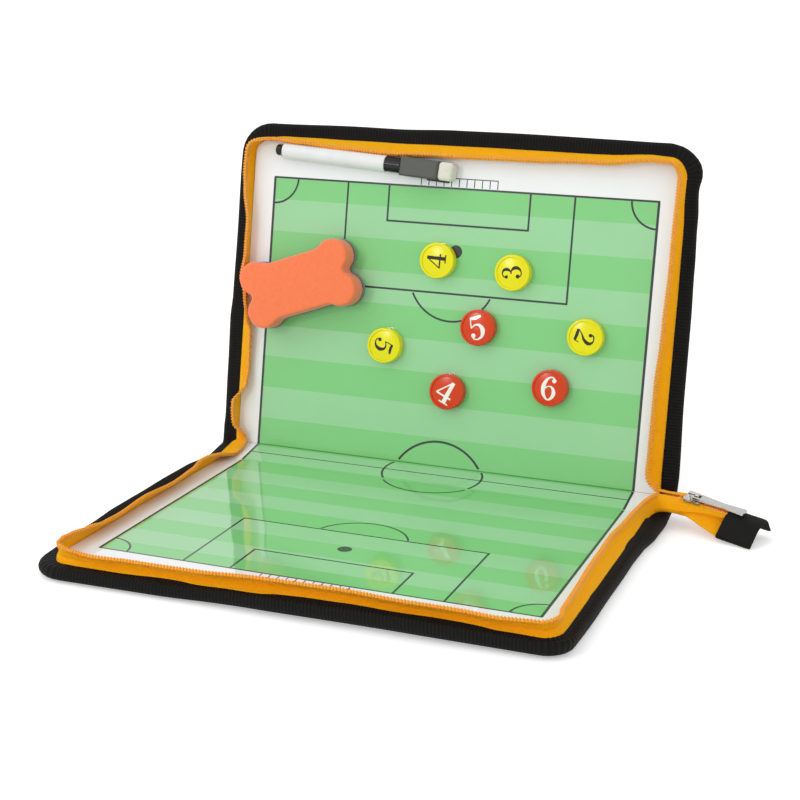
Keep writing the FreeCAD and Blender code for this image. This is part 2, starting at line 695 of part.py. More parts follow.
# Round counters, about their axis with the magnet's face at height zero
def counter_shell():
    recess_radius = COUNTER_RADIUS - COUNTER_RIM
    floor = COUNTER_HEIGHT - FACE_RECESS
    pocket_radius = MAGNET_RADIUS + SEAT_GAP
    pocket_top = MAGNET_THICK + SEAT_GAP
    shell = revolved(
        [
            (pocket_radius, 0),
            (COUNTER_RADIUS, 0),
            (COUNTER_RADIUS, COUNTER_HEIGHT),
            (recess_radius, COUNTER_HEIGHT),
            (recess_radius, floor),
            (0, floor),
            (0, pocket_top),
            (pocket_radius, pocket_top),
        ]
    )
    crown = [edge for edge in shell.Edges if is_crown(edge, COUNTER_HEIGHT)]
    outer = [edge for edge in crown if edge.BoundBox.XMax > COUNTER_RADIUS - TOUCH]
    return shell.makeFillet(COUNTER_RIM_ROUND, outer)


def counter_face():
    """Clear domed disc that lies in the shell's recess."""
    radius = COUNTER_RADIUS - COUNTER_RIM - SEAT_GAP
    floor = COUNTER_HEIGHT - FACE_RECESS
    edge = floor + FACE_EDGE
    crown = edge + FACE_DOME
    sphere = (radius * radius + FACE_DOME * FACE_DOME) / (2 * FACE_DOME)
    half = radius / 2
    middle = V(half, 0, crown - sphere + math.sqrt(sphere * sphere - half * half))
    arc = Part.Arc(V(radius, 0, edge), middle, V(0, 0, crown)).toShape()
    walls = Part.makePolygon([V(0, 0, crown), V(0, 0, floor), V(radius, 0, floor), V(radius, 0, edge)])
    return Part.Face(Part.Wire([arc] + walls.Edges)).revolve(V(0, 0, 0), V(0, 0, 1), 360)


def counter_pieces():
    pieces = {}
    for name, (x_share, reach_share) in COUNTER_PLACE_SHARES.items():
        magnet = disc(MAGNET_RADIUS, MAGNET_THICK, V(0, 0, 0))
        for piece, shape in (("shell", counter_shell()), ("face", counter_face()), ("magnet", magnet)):
            on_sheet(shape, x_share * SHEET_HALF_WIDTH, reach_share * SHEET_REACH, REST_GAP, 0)
            pieces["counter_" + name + "_" + piece] = shape
    return pieces


# Places of the halves and the spine
def to_lower(shape):
    placed = shape.copy()
    placed.rotate(V(0, 0, 0), V(0, 0, 1), 180)
    placed.translate(LOWER_CREASE)
    return placed


def to_spine(shape):
    placed = shape.copy()
    placed.rotate(V(0, 0, 0), AXIS_X, SPINE_RISE_DEG)
    placed.translate(LOWER_CREASE)
    return placed


def to_upper(shape):
    placed = shape.copy()
    placed.rotate(V(0, 0, 0), AXIS_X, SPINE_RISE_DEG + COVER_RISE_DEG)
    placed.translate(UPPER_CREASE)
    return placed


def main():
    os.makedirs("parts", exist_ok=True)
    for name, shape in half_pieces().items():
        save("lower_" + name, to_lower(shape))
        save("upper_" + name, to_upper(shape))
    slider = {"zip_slider": on_tail(zip_slider()), "zip_pull": on_tail(zip_pull())}
    for name, shape in {**spine_pieces(), **tail_pieces(), **slider}.items():
        save(name, to_spine(shape))
    for name, shape in {**pen_pieces(), **eraser_pieces(), **counter_pieces()}.items():
        save(name, to_upper(shape))


main()
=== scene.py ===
import json
import math

import bmesh
import bpy
from bpy.props import FloatProperty, FloatVectorProperty, PointerProperty
from mathutils import Matrix, Vector


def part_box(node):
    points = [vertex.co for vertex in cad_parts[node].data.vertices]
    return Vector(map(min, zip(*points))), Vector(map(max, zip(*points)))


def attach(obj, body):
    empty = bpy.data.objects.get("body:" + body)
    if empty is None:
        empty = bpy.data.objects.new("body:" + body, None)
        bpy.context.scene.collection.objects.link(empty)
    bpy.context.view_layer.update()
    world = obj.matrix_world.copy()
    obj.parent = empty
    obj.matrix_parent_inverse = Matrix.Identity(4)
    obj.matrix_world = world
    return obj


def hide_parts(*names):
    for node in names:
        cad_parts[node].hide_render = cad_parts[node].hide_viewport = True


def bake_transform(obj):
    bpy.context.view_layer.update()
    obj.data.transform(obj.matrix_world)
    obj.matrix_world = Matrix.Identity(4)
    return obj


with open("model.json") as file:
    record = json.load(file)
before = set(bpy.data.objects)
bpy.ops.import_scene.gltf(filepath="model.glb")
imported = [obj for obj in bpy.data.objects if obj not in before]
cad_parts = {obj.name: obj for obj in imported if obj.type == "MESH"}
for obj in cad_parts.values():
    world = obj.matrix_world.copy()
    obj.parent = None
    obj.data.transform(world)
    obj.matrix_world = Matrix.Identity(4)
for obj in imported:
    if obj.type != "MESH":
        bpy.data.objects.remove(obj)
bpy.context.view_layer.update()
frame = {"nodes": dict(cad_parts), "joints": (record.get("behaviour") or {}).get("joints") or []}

bl_info = {
    "name": "Folding tactics board",
    "version": (1, 0, 0),
    "blender": (4, 5, 0),
    "location": "View3D > Sidebar > Tactics Board",
    "description": "Dresses the folding tactics board in cloth, zip, print, plastic and foam",
    "category": "Object",
}

# The three leaves of the case. Each has a frame in millimetres: X along the spine, Y away from the
# leaf's crease and Z up from the face of its pitch sheet.
JOINTS = {joint["name"]: joint for joint in frame["joints"]}
LOWER_CREASE = Vector(JOINTS["spine_fold"]["pos_m"])
UPPER_CREASE = Vector(JOINTS["cover_fold"]["pos_m"])
SPINE_RUN = UPPER_CREASE - LOWER_CREASE
SPINE_RISE = math.atan2(SPINE_RUN.z, SPINE_RUN.y)
UPPER_NORMAL = Vector(JOINTS["pen_lift"]["axis"])
UPPER_RISE = math.acos(UPPER_NORMAL.z)
MM = 0.001
TURNS = {
    "lower_half": Matrix.Rotation(math.pi, 4, "Z"),
    "spine": Matrix.Rotation(SPINE_RISE, 4, "X"),
    "upper_half": Matrix.Rotation(UPPER_RISE, 4, "X"),
}
CREASES = {"lower_half": LOWER_CREASE, "spine": LOWER_CREASE, "upper_half": UPPER_CREASE}
PLACES = {
    body: Matrix.Translation(CREASES[body]) @ turn @ Matrix.Scale(MM, 4) for body, turn in TURNS.items()
}

# Levels over the print, insets from the case edge and other sizes of the solids, in millimetres
BINDING_LOW, BINDING_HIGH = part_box("lower_edge_binding")
HALF_WIDTH = BINDING_HIGH.x / MM
REACH = (LOWER_CREASE.y - BINDING_LOW.y) / MM
SPINE_WIDTH = SPINE_RUN.length / MM
CORNER = 20.0
FLANGE = (BINDING_HIGH.z - LOWER_CREASE.z) / MM
UNDERSIDE = -LOWER_CREASE.z / MM
ZIP_LINE = 10.5
GAP = 0.3
ZIP_SIDE = HALF_WIDTH - ZIP_LINE
ZIP_END = REACH - ZIP_LINE
ZIP_CORNER = CORNER - ZIP_LINE
SHOULDER = ZIP_END - ZIP_CORNER
SIDE_RUN = SHOULDER + ZIP_CORNER * math.pi / 2
FRONT_RUN = 2 * (ZIP_SIDE - ZIP_CORNER)
ZIP_RUN = 2 * SIDE_RUN + FRONT_RUN
COUNTERS = ("yellow_2", "yellow_3", "yellow_4", "yellow_5", "red_4", "red_5", "red_6")


def linear(code):
    """Linear colour of an sRGB hex value."""
    shares = [int(code[at : at + 2], 16) / 255 for at in (1, 3, 5)]
    return tuple(
        share / 12.92 if share <= 0.04045 else ((share + 0.055) / 1.055) ** 2.4 for share in shares
    )


def colour_setting(name, description, code):
    """Colour that a user can change, given as an sRGB hex value."""
    return FloatVectorProperty(
        name=name, description=description, default=linear(code), subtype="COLOR", min=0, max=1
    )


def size_setting(name, description, millimetres):
    """Length that a user can change."""
    return FloatProperty(
        name=name, description=description, default=millimetres * MM, unit="LENGTH", min=0, precision=5
    )


class BoardCase(bpy.types.PropertyGroup):
    """Cloth case and its zip"""

    cloth: colour_setting("Cloth", "Colour of the woven cover", "#151514")
    binding: colour_setting("Binding", "Colour of the ribbed edge binding", "#100F0E")
    tape: colour_setting("Zip tape", "Colour of the woven zip tape", "#FFA90C")
    coil: colour_setting("Zip coil", "Colour of the zip's nylon coil", "#FFA012")
    rib_pitch: size_setting("Rib pitch", "Distance between two ribs of the binding", 2.0)
    tooth_pitch: size_setting("Tooth pitch", "Distance between two teeth of the coil", 1.9)


class BoardPrint(bpy.types.PropertyGroup):
    """Printed pitch"""

    light_stripe: colour_setting("Light stripe", "Colour of the lighter grass stripe", "#9AD39E")
    dark_stripe: colour_setting("Dark stripe", "Colour of the darker grass stripe", "#82CD82")
    margin: colour_setting("Margin", "Colour of the bare sheet round the pitch", "#F0F3F5")
    ink: colour_setting("Line ink", "Colour of the pitch markings", "#33393A")
    pitch_half: size_setting("Half width", "Half the width of the pitch", 129.4)
    goal_line: size_setting("Goal line", "Distance of the goal line from a crease", 180.0)
    stripe: size_setting("Stripe", "Width of a grass stripe", 21.0)
    line: size_setting("Line width", "Width of a marking", 1.25)


class BoardGear(bpy.types.PropertyGroup):
    """Counters, pen and eraser"""

    yellow: colour_setting("Yellow counter", "Colour of the yellow counters", "#EDE300")
    red: colour_setting("Red counter", "Colour of the red counters", "#DA400F")
    foam: colour_setting("Foam", "Colour of the eraser's foam", "#FA7A48")
    yellow_digit: size_setting("Yellow digit", "Height of the digits on yellow", 12.8)
    red_digit: size_setting("Red digit", "Height of the digits on red", 15.2)


class BoardStage(bpy.types.PropertyGroup):
    """Floor, light and camera"""

    floor: colour_setting("Floor", "Colour of the floor", "#F4F4F4")
    key_power: FloatProperty(
        name="Key light", description="Power of the large soft light", default=6.0, unit="POWER", min=0
    )
    front_power: FloatProperty(
        name="Front light", description="Power of the small front light", default=3.0, unit="POWER", min=0
    )
    sky: FloatProperty(name="Sky", description="Strength of the even light all round", default=0.9, min=0)
    floor_white: FloatProperty(
        name="Floor white", description="Share of white that the floor adds where it is seen",
        default=0.35, min=0, max=1,
    )
    lens: FloatProperty(
        name="Lens", description="Focal length on a 36 mm sensor", default=72.72, unit="CAMERA", min=1
    )


# Mesh helpers
def begin():
    """New bmesh whose vertices also hold their place along and across the cloth, in millimetres."""
    bm = bmesh.new()
    bm.verts.layers.float_vector.new("weave")
    return bm


def loft(bm, rings):
    """Closed skin over rings of points, made by extruding the first ring's edges from ring to ring."""
    weave = bm.verts.layers.float_vector["weave"]
    ring = [bm.verts.new(point) for point in rings[0]]
    across = 0.0
    for before, vert in zip([ring[0]] + ring, ring):
        across += (vert.co - before.co).length
        vert[weave] = (0, across, 0)
    edges = [bm.edges.new(pair) for pair in zip(ring, ring[1:] + ring[:1])]
    bm.faces.new(ring)
    for points in rings[1:]:
        grown = bmesh.ops.extrude_edge_only(bm, edges=edges)["geom"]
        after = [item for item in grown if isinstance(item, bmesh.types.BMVert)]
        edges = [item for item in grown if isinstance(item, bmesh.types.BMEdge)]
        step = 0.0
        for vert, point in zip(after, points):
            step = max(step, (vert.co - Vector(point)).length)
        for vert, point in zip(after, points):
            vert.co = point
            vert[weave] = vert[weave] + Vector((step, 0, 0))
    bmesh.ops.edgeloop_fill(bm, edges=edges)
    return bm


def strip(section, start, end, step):
    """Straight strip along Y of a closed section of (out, rise) points."""
    count = max(1, round((end - start) / step))
    runs = [start + (end - start) * index / count for index in range(count + 1)]
    return loft(begin(), [[(out, run, rise) for out, rise in section] for run in runs])


def edge_place(run):
    """Point and heading on the zip's line round a half, from the crease on its first side."""
    if run > ZIP_RUN / 2:
        point, heading = edge_place(ZIP_RUN - run)
        return Vector((-point.x, point.y, 0)), math.pi - heading
    if run < SHOULDER:
        return Vector((ZIP_SIDE, run, 0)), 0.0
    turn = min((run - SHOULDER) / ZIP_CORNER, math.pi / 2)
    middle = Vector((ZIP_SIDE - ZIP_CORNER - max(run - SIDE_RUN, 0), SHOULDER, 0))
    return middle + ZIP_CORNER * Vector((math.cos(turn), math.sin(turn), 0)), turn


def wrap(bm, body, shape):
    """Lays a straight strip round a half. The shape gives each (out, run, rise) its leaning place."""
    for vert in bm.verts:
        point, heading = edge_place(vert.co.y)
        out, rise = shape(*vert.co)
        spot = point + out * Vector((math.cos(heading), math.sin(heading), 0))
        vert.co = PLACES[body] @ Vector((spot.x, spot.y, FLANGE + rise))
    return bm


def between(keys, run):
    """Smooth value at a run between (run, value) keys."""
    if run <= keys[0][0]:
        return keys[0][1]
    for (low, first), (high, second) in zip(keys, keys[1:]):
        if run <= high:
            share = (run - low) / (high - low)
            return first + (second - first) * share * share * (3 - 2 * share)
    return keys[-1][1]


def smooth_points(points, parts=7):
    """Points of a smooth curve through the given ones."""
    padded = [points[0], *points, points[-1]]
    curve = []
    for before, first, second, after in zip(padded, padded[1:], padded[2:], padded[3:]):
        for index in range(parts):
            t = index / parts
            curve.append([
                b + 0.5 * t * (c - a + t * (2 * a - 5 * b + 4 * c - d + t * (3 * (b - c) + d - a)))
                for a, b, c, d in zip(before, first, second, after)
            ])
    return curve + [list(points[-1])]


def finished(bm, name, material, body=None, sharp=35):
    """Object of a bmesh given in metres, which rides on a body."""
    bmesh.ops.remove_doubles(bm, verts=bm.verts, dist=1e-7)
    bmesh.ops.recalc_face_normals(bm, faces=bm.faces)
    mesh = bpy.data.meshes.new(name)
    bm.to_mesh(mesh)
    bm.free()
    mesh.materials.append(material)
    mesh.shade_smooth()
    mesh.set_sharp_from_angle(angle=math.radians(sharp))
    piece = bpy.data.objects.new(name, mesh)
    bpy.context.scene.collection.objects.link(piece)
    if body:
        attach(piece, body)
    return piece


def laid(bm, place):
    """Moves a whole bmesh to its place."""
    bmesh.ops.transform(bm, matrix=place, verts=bm.verts)
    return bm


def dress(material, *nodes):
    """Gives carried-over solids their material."""
    for node in nodes:
        for slot in frame["nodes"][node].material_slots:
            slot.material = material


# Material helpers
def add_node(tree, kind, inputs=None, **settings):
    """Node with its settings, whose inputs are values or the outputs of other nodes."""
    node = tree.nodes.new(kind)
    for name, value in settings.items():
        setattr(node, name, value)
    for socket, value in (inputs or {}).items():
        if isinstance(value, bpy.types.NodeSocket):
            tree.links.new(value, node.inputs[socket])
        else:
            node.inputs[socket].default_value = value
    return node


def surface(name, roughness, **values):
    """New material with its node tree and shader."""
    material = bpy.data.materials.new(name)
    material.use_nodes = True
    shader = material.node_tree.nodes["Principled BSDF"]
    shader.inputs["Roughness"].default_value = roughness
    for socket, value in values.items():
        shader.inputs[socket.replace("_", " ")].default_value = value
    return material, material.node_tree, shader


NOISE = "ShaderNodeTexNoise"


def ripple(tree, value, pitch):
    """Sine wave of a length, once in each pitch."""
    turns = add_node(tree, "ShaderNodeMath", {0: value, 1: math.tau / pitch}, operation="MULTIPLY")
    return add_node(tree, "ShaderNodeMath", {0: turns.outputs[0]}, operation="SINE").outputs[0]


def tone_and_relief(tree, shader, colour, tint, shades, height=None, strength=0.0, depth=0.0):
    """Colour that runs by a tint between two shades, and relief by a height, of a depth in millimetres."""
    low, high = (tuple(min(1.0, value * share) for value in colour) for share in shades)
    mix = add_node(tree, "ShaderNodeMix", {0: tint, 6: (*low, 1), 7: (*high, 1)}, data_type="RGBA")
    tree.links.new(mix.outputs[2], shader.inputs["Base Color"])
    if height is not None:
        relief = {"Height": height, "Strength": strength, "Distance": depth * MM}
        bump = add_node(tree, "ShaderNodeBump", relief)
        tree.links.new(bump.outputs[0], shader.inputs["Normal"])


def weave_place(tree):
    """Place along and across a piece of cloth, in millimetres, and its two parts."""
    vector = add_node(tree, "ShaderNodeAttribute", attribute_name="weave").outputs["Vector"]
    parts = add_node(tree, "ShaderNodeSeparateXYZ", {0: vector})
    return vector, parts.outputs[0], parts.outputs[1]


def woven_polyester(name, colour):
    """Plain weave: matt black, with small crossing threads, drawn 0.9 mm apart so that they show."""
    material, tree, shader = surface(name, 0.82, Specular_IOR_Level=0.18)
    vector, run, across = weave_place(tree)
    warp, weft = ripple(tree, run, 1.8), ripple(tree, across, 1.8)
    threads = add_node(tree, "ShaderNodeMath", {0: warp, 1: weft}, operation="MULTIPLY").outputs[0]
    patches = add_node(tree, NOISE, {"Vector": vector, "Scale": 1 / 6.0, "Detail": 4.0}).outputs["Fac"]
    tone_and_relief(tree, shader, colour, patches, (0.8, 1.25), threads, 0.55, 0.25)
    return material


def ribbed_binding(name, colour, pitch):
    """Ribbed polyester ribbon: cross ribs in relief, with a painted highlight on each crest and painted shade
    between them, stronger in random patches.
    """
    material, tree, shader = surface(name, 0.75, Specular_IOR_Level=0.15)
    vector, run, _ = weave_place(tree)
    rib = ripple(tree, run, pitch)
    patches = add_node(tree, NOISE, {"Vector": vector, "Scale": 1 / 4.0, "Detail": 3.0}).outputs["Fac"]
    # Painted highlight and shade: paler colour on the rib crests and darker colour between them, varied by
    # random patches
    patchy_rib_highlight = add_node(tree, "ShaderNodeMath", {0: rib, 1: patches}, operation="MULTIPLY").outputs[0]
    tone_and_relief(tree, shader, colour, patchy_rib_highlight, (0.7, 2.6), rib, 0.6, 0.35)
    return material


def zip_ribbon(name, colour):
    """Dyed polyester tape: close warp lines along the run, slightly uneven dye and a soft sheen."""
    material, tree, shader = surface(
        name, 0.75, Subsurface_Weight=0.6, Subsurface_Scale=0.002, Subsurface_Radius=(1, 0.6, 0.2),
        Specular_IOR_Level=0.08, Sheen_Weight=0.5, Sheen_Roughness=0.5, Sheen_Tint=(1, 0.6, 0.05, 1),
    )
    vector, run, across = weave_place(tree)
    warp, weft = ripple(tree, across, 0.9), ripple(tree, run, 1.1)
    lines = add_node(tree, "ShaderNodeMath", {0: warp, 1: weft}, operation="ADD").outputs[0]
    patches = add_node(tree, NOISE, {"Vector": vector, "Scale": 1 / 7.0, "Detail": 3.0}).outputs["Fac"]
    tone_and_relief(tree, shader, colour, patches, (0.93, 1.06), lines, 0.35, 0.2)
    return material


def nylon_coil(name, colour):
    """Drawn nylon wire: smooth and a little glossy, so that each tooth has its own highlight."""
    material, tree, shader = surface(name, 0.38, IOR=1.53, Subsurface_Weight=0.5, Subsurface_Scale=0.0015)
    place = add_node(tree, "ShaderNodeTexCoord").outputs["Object"]
    patches = add_node(tree, NOISE, {"Vector": place, "Scale": 1 / (5 * MM), "Detail": 2.0}).outputs["Fac"]
    scuffs = add_node(tree, NOISE, {"Vector": place, "Scale": 1 / (0.6 * MM), "Detail": 2.0}).outputs["Fac"]
    tone_and_relief(tree, shader, colour, patches, (0.88, 1.06), scuffs, 0.12, 0.1)
    return material


def laminated_print(name, body, settings, halfway):
    """Offset print under clear film: flat grass stripes with a mirror gloss that waves a little."""
    material, tree, shader = surface(name, 0.045, IOR=1.5)
    place = add_node(tree, "ShaderNodeTexCoord").outputs["Object"]
    local = add_node(
        tree,
        "ShaderNodeMapping",
        {"Vector": place, "Location": CREASES[body], "Rotation": TURNS[body].to_euler()},
        vector_type="TEXTURE",
    ).outputs[0]
    parts = add_node(tree, "ShaderNodeSeparateXYZ", {0: local})
    along, reach = parts.outputs[0], parts.outputs[1]
    start = settings.stripe / 2 - halfway * MM
    shifted = add_node(tree, "ShaderNodeMath", {0: reach, 1: start}, operation="ADD").outputs[0]
    band = ripple(tree, shifted, 2 * settings.stripe)
    edge = add_node(
        tree, "ShaderNodeMath", {0: band, 1: 12.0, 2: 0.5}, operation="MULTIPLY_ADD", use_clamp=True
    ).outputs[0]
    grass = add_node(
        tree,
        "ShaderNodeMix",
        {0: edge, 6: (*settings.dark_stripe, 1), 7: (*settings.light_stripe, 1)},
        data_type="RGBA",
    ).outputs[2]
    # Painted shade: the upper sheet is darker in a fine line along its crease, where the gap at the fold
    # casts a shadow
    fold = add_node(tree, "ShaderNodeMath", {0: reach, 1: 0.7 * MM}, operation="LESS_THAN").outputs[0]
    crease = 0.75 if body == "upper_half" else 0.0
    painted_crease_shade = add_node(tree, "ShaderNodeMath", {0: fold, 1: crease}, operation="MULTIPLY").outputs[0]
    grass = add_node(
        tree, "ShaderNodeMix", {0: painted_crease_shade, 6: grass, 7: (*linear("#2F9A44"), 1)}, data_type="RGBA"
    ).outputs[2]
    sideways = add_node(tree, "ShaderNodeMath", {0: along}, operation="ABSOLUTE").outputs[0]
    within = add_node(
        tree, "ShaderNodeMath", {0: sideways, 1: settings.pitch_half}, operation="LESS_THAN"
    ).outputs[0]
    before = add_node(
        tree, "ShaderNodeMath", {0: reach, 1: settings.goal_line}, operation="LESS_THAN"
    ).outputs[0]
    inside = add_node(tree, "ShaderNodeMath", {0: within, 1: before}, operation="MULTIPLY").outputs[0]
    sheet = add_node(
        tree, "ShaderNodeMix", {0: inside, 6: (*settings.margin, 1), 7: grass}, data_type="RGBA"
    ).outputs[2]
    cloud = add_node(tree, NOISE, {"Vector": local, "Scale": 1 / (30 * MM), "Detail": 3.0}).outputs["Fac"]
    uneven = add_node(
        tree, "ShaderNodeMath", {0: cloud, 1: 0.06, 2: 0.97}, operation="MULTIPLY_ADD"
    ).outputs[0]
    printed = add_node(
        tree, "ShaderNodeMix", {0: 1.0, 6: sheet, 7: uneven}, data_type="RGBA", blend_type="MULTIPLY"
    ).outputs[2]
    tree.links.new(printed, shader.inputs["Base Color"])
    waves = add_node(tree, NOISE, {"Vector": local, "Scale": 1 / (45 * MM), "Detail": 1.0}).outputs["Fac"]
    bump = add_node(tree, "ShaderNodeBump", {"Height": waves, "Strength": 0.35, "Distance": 1.2 * MM})
    tree.links.new(bump.outputs[0], shader.inputs["Normal"])
    return material


def printing_ink(name, colour, roughness=0.12):
    """Ink under the same clear film: an even tone that shares the sheet's gloss."""
    material, tree, shader = surface(name, roughness, IOR=1.5)
    place = add_node(tree, "ShaderNodeTexCoord").outputs["Object"]
    patches = add_node(tree, NOISE, {"Vector": place, "Scale": 1 / (3 * MM), "Detail": 3.0}).outputs["Fac"]
    tone_and_relief(tree, shader, colour, patches, (0.9, 1.15))
    return material


def moulded_plastic(name, colour, roughness, glow=0.0, texture=0.5, relief=0.05):
    """Injection-moulded plastic: even colour, clean gloss, and the faint texture of its mould."""
    material, tree, shader = surface(
        name, roughness, IOR=1.5, Subsurface_Weight=glow, Subsurface_Scale=0.002, Specular_IOR_Level=0.28
    )
    place = add_node(tree, "ShaderNodeTexCoord").outputs["Object"]
    patches = add_node(tree, NOISE, {"Vector": place, "Scale": 1 / (9 * MM), "Detail": 2.0}).outputs["Fac"]
    fine = {"Vector": place, "Scale": 1 / (texture * MM), "Detail": 3.0}
    mould = add_node(tree, NOISE, fine).outputs["Fac"]
    tone_and_relief(tree, shader, colour, patches, (0.93, 1.05), mould, 0.15, relief)
    return material


def cut_foam(name, colour):
    """Die-cut foam: matt, with fine open cells and a dusty bloom where it faces the light."""
    material, tree, shader = surface(name, 0.9, Sheen_Weight=0.3, Sheen_Roughness=0.6)
    place = add_node(tree, "ShaderNodeTexCoord").outputs["Object"]
    patches = add_node(tree, NOISE, {"Vector": place, "Scale": 1 / (2.5 * MM), "Detail": 5.0}).outputs["Fac"]
    cells = add_node(tree, "ShaderNodeTexVoronoi", {"Vector": place, "Scale": 1 / (0.7 * MM)})
    tone_and_relief(tree, shader, colour, patches, (0.9, 1.07), cells.outputs["Distance"], 0.3, 0.25)
    return material


def pressed_felt(name, colour):
    """Pressed wool felt: tangled fibres, soft mottling and no gloss."""
    material, tree, shader = surface(name, 0.95, Sheen_Weight=0.5, Sheen_Roughness=0.7)
    place = add_node(tree, "ShaderNodeTexCoord").outputs["Object"]
    fibres = add_node(tree, NOISE, {"Vector": place, "Scale": 1 / (0.8 * MM), "Detail": 6.0}).outputs["Fac"]
    tone_and_relief(tree, shader, colour, fibres, (0.8, 1.12), fibres, 0.7, 0.5)
    return material


def plated_zinc(name, colour, roughness):
    """Die-cast zinc with a nickel plate: bright, with a slight orange-peel and worn, duller patches."""
    material, tree, shader = surface(name, roughness, Metallic=1.0)
    place = add_node(tree, "ShaderNodeTexCoord").outputs["Object"]
    patches = add_node(tree, NOISE, {"Vector": place, "Scale": 1 / (3 * MM), "Detail": 4.0}).outputs["Fac"]
    peel = add_node(tree, NOISE, {"Vector": place, "Scale": 1 / (0.5 * MM), "Detail": 3.0}).outputs["Fac"]
    tone_and_relief(tree, shader, colour, patches, (0.85, 1.0), peel, 0.12, 0.08)
    return material


def pressed_fibre(name, colour, size, roughness=0.85):
    """Pressed board, foam or wick that shows only at an edge: matt, with short mixed fibres."""
    material, tree, shader = surface(name, roughness)
    place = add_node(tree, "ShaderNodeTexCoord").outputs["Object"]
    fibres = add_node(tree, NOISE, {"Vector": place, "Scale": 1 / (size * MM), "Detail": 5.0}).outputs["Fac"]
    tone_and_relief(tree, shader, colour, fibres, (0.75, 1.15), fibres, 0.3, 0.2)
    return material


# Case: covers and bindings. In millimetres: half the tape's thickness, where the rim begins beside the tape,
# its height over the underside, the width of it that rides up the tape, and the level its back lies under.
TAPE_HALF = 0.45
RIM_START = 0.55
RIM_CLEAR = 0.3
RUFFLE_WIDTH = 5.0
RIM_BACK = -0.5


def rim_section():
    """Outline of the padded rim: flat flange, full round nose and the turned-under edge."""
    top, bottom = 0.0, UNDERSIDE + RIM_CLEAR - FLANGE
    radius = (top - bottom) / 2
    nose = ZIP_LINE - radius
    angles = [math.pi / 2 - math.pi * index / 10 for index in range(11)]
    level = (top + bottom) / 2
    outline = [(nose + radius * math.cos(angle), level + radius * math.sin(angle)) for angle in angles]
    flat = [(RIM_START + (nose - RIM_START) * index / 5, top) for index in range(5)]
    under = [(nose - (nose - RIM_START) * index / 3, bottom) for index in range(1, 4)]
    return flat + outline + under


# How the cloth stands round each half, as (run, value) keys, thinned and rounded from fits to the photo's
# edges. A zip wall has a lower part, from the flange up to a crease, and an upper part with the coil.
# The upper part's lean is in degrees, outwards above zero, and so is the kink, by which the lower part leans
# further in. The rest is in millimetres: the lower part's length, how far the rim's inner edge rides up the
# tape, how far the rim's nose stands out beyond an even edge, how far it curls up, and how far the foot of
# the wall stands out.
LEANS = {
    "lower_half": [
        (0, -70), (12, -54), (28, -34), (36, -33), (50, -45), (80, -54), (111, -42), (142, -53), (159, -48),
        (174, -35), (190, -19), (198, -8), (206, 10), (214, 26), (230, 40), (300, 42), (440, 42), (461, 36),
        (480, 35), (492, 16), (503, 3), (556, -2), (612, -4), (652, 0), (ZIP_RUN, 0),
    ],
    "upper_half": [
        (0, -50), (34, -54), (60, -48), (103, -32), (150, -24), (200, -18), (256, -32), (340, -40),
        (391, -40), (426, -32), (455, -21), (482, -6), (494, 8), (510, 11), (520, 6), (544, -14),
        (563, -12), (579, -2), (592, -20), (607, -34), (617, -58), (640, -70), (650, -55), (664, 0),
        (669, 5), (ZIP_RUN, 0),
    ],
}
KINKS = {
    "lower_half": [
        (0, 0), (190, 0), (204, 40), (214, 70), (230, 84), (440, 87), (480, 80), (492, 66), (503, 55),
        (556, 50), (612, 48), (652, 52), (670, 42), (684, 14), (ZIP_RUN, 0),
    ],
    "upper_half": [(0, 0), (ZIP_RUN, 0)],
}
LENGTHS = {
    "lower_half": [
        (0, 4.6), (188, 4.6), (214, 3.6), (231, 4.2), (256, 4.8), (293, 5.1), (328, 6.6), (374, 7.2),
        (407, 6.3), (440, 6.4), (461, 5.2), (482, 5.9), (519, 6.2), (564, 7.6), (605, 8.0), (648, 6.9),
        (680, 5.8), (ZIP_RUN, 4.6),
    ],
    "upper_half": [(0, 4.6), (ZIP_RUN, 4.6)],
}
RUFFLES = {
    "lower_half": [
        (0, 0.2), (SIDE_RUN - 40, 0.6), (SIDE_RUN - 5, 0.3), (244, 0.9), (281, 2.1), (295, 1.3), (328, 1.4),
        (340, 2.1), (363, 2.6), (418, 3.2), (450, 3.2), (461, 2.5), (482, 2.4), (550, 2.55), (632, 2.8),
        (677, 2.3), (ZIP_RUN, 0.5),
    ],
    "upper_half": [
        (0, 0.3), (60, 1.0), (120, 1.2), (160, 2.0), (185, 3.6), (SIDE_RUN + 10, 1.6), (SIDE_RUN + 60, 1.4),
        (SIDE_RUN + 120, 0.8), (SIDE_RUN + 190, 1.6), (SIDE_RUN + 272, 0.8), (SIDE_RUN + 380, 0.5),
        (ZIP_RUN, 0.2),
    ],
}
DRAWS = {
    "lower_half": [
        (0, 2.0), (30, 0.4), (SIDE_RUN - 60, 0.4), (SIDE_RUN, 0.2), (SIDE_RUN + 90, -0.8),
        (SIDE_RUN + 200, -2.0), (SIDE_RUN + FRONT_RUN, -3.4), (ZIP_RUN - 160, -3.4), (ZIP_RUN - 110, -4.0),
        (ZIP_RUN - 70, -4.0), (ZIP_RUN - 45, -3.2), (ZIP_RUN - 22, -0.6), (ZIP_RUN, 0),
    ],
    "upper_half": [
        (0, 0), (60, -1.0), (110, -1.3), (140, -1.8), (170, -3.0), (188, -4.2), (202, -1.6), (214, 1.0),
        (250, 1.4), (310, 2.6), (352, 2.0), (394, 0.9), (478, 0.8), (512, 1.4), (592, 1.3), (609, 2.4),
        (642, 2.2), (674, 1.8), (ZIP_RUN, 3.0),
    ],
}
CURLS = {
    "lower_half": [
        (0, 2.0), (30, 5.0), (60, 5.5), (90, 5.0), (120, 5.0), (150, 3.4), (175, 1.4), (200, 0),
        (SIDE_RUN + 60, 0.6), (SIDE_RUN + 115, 3.4), (SIDE_RUN + 200, 5.2), (SIDE_RUN + FRONT_RUN, 3.2),
        (SIDE_RUN + FRONT_RUN + 60, 0.8), (ZIP_RUN, 0),
    ],
    "upper_half": [(0, 0), (ZIP_RUN, 0)],
}
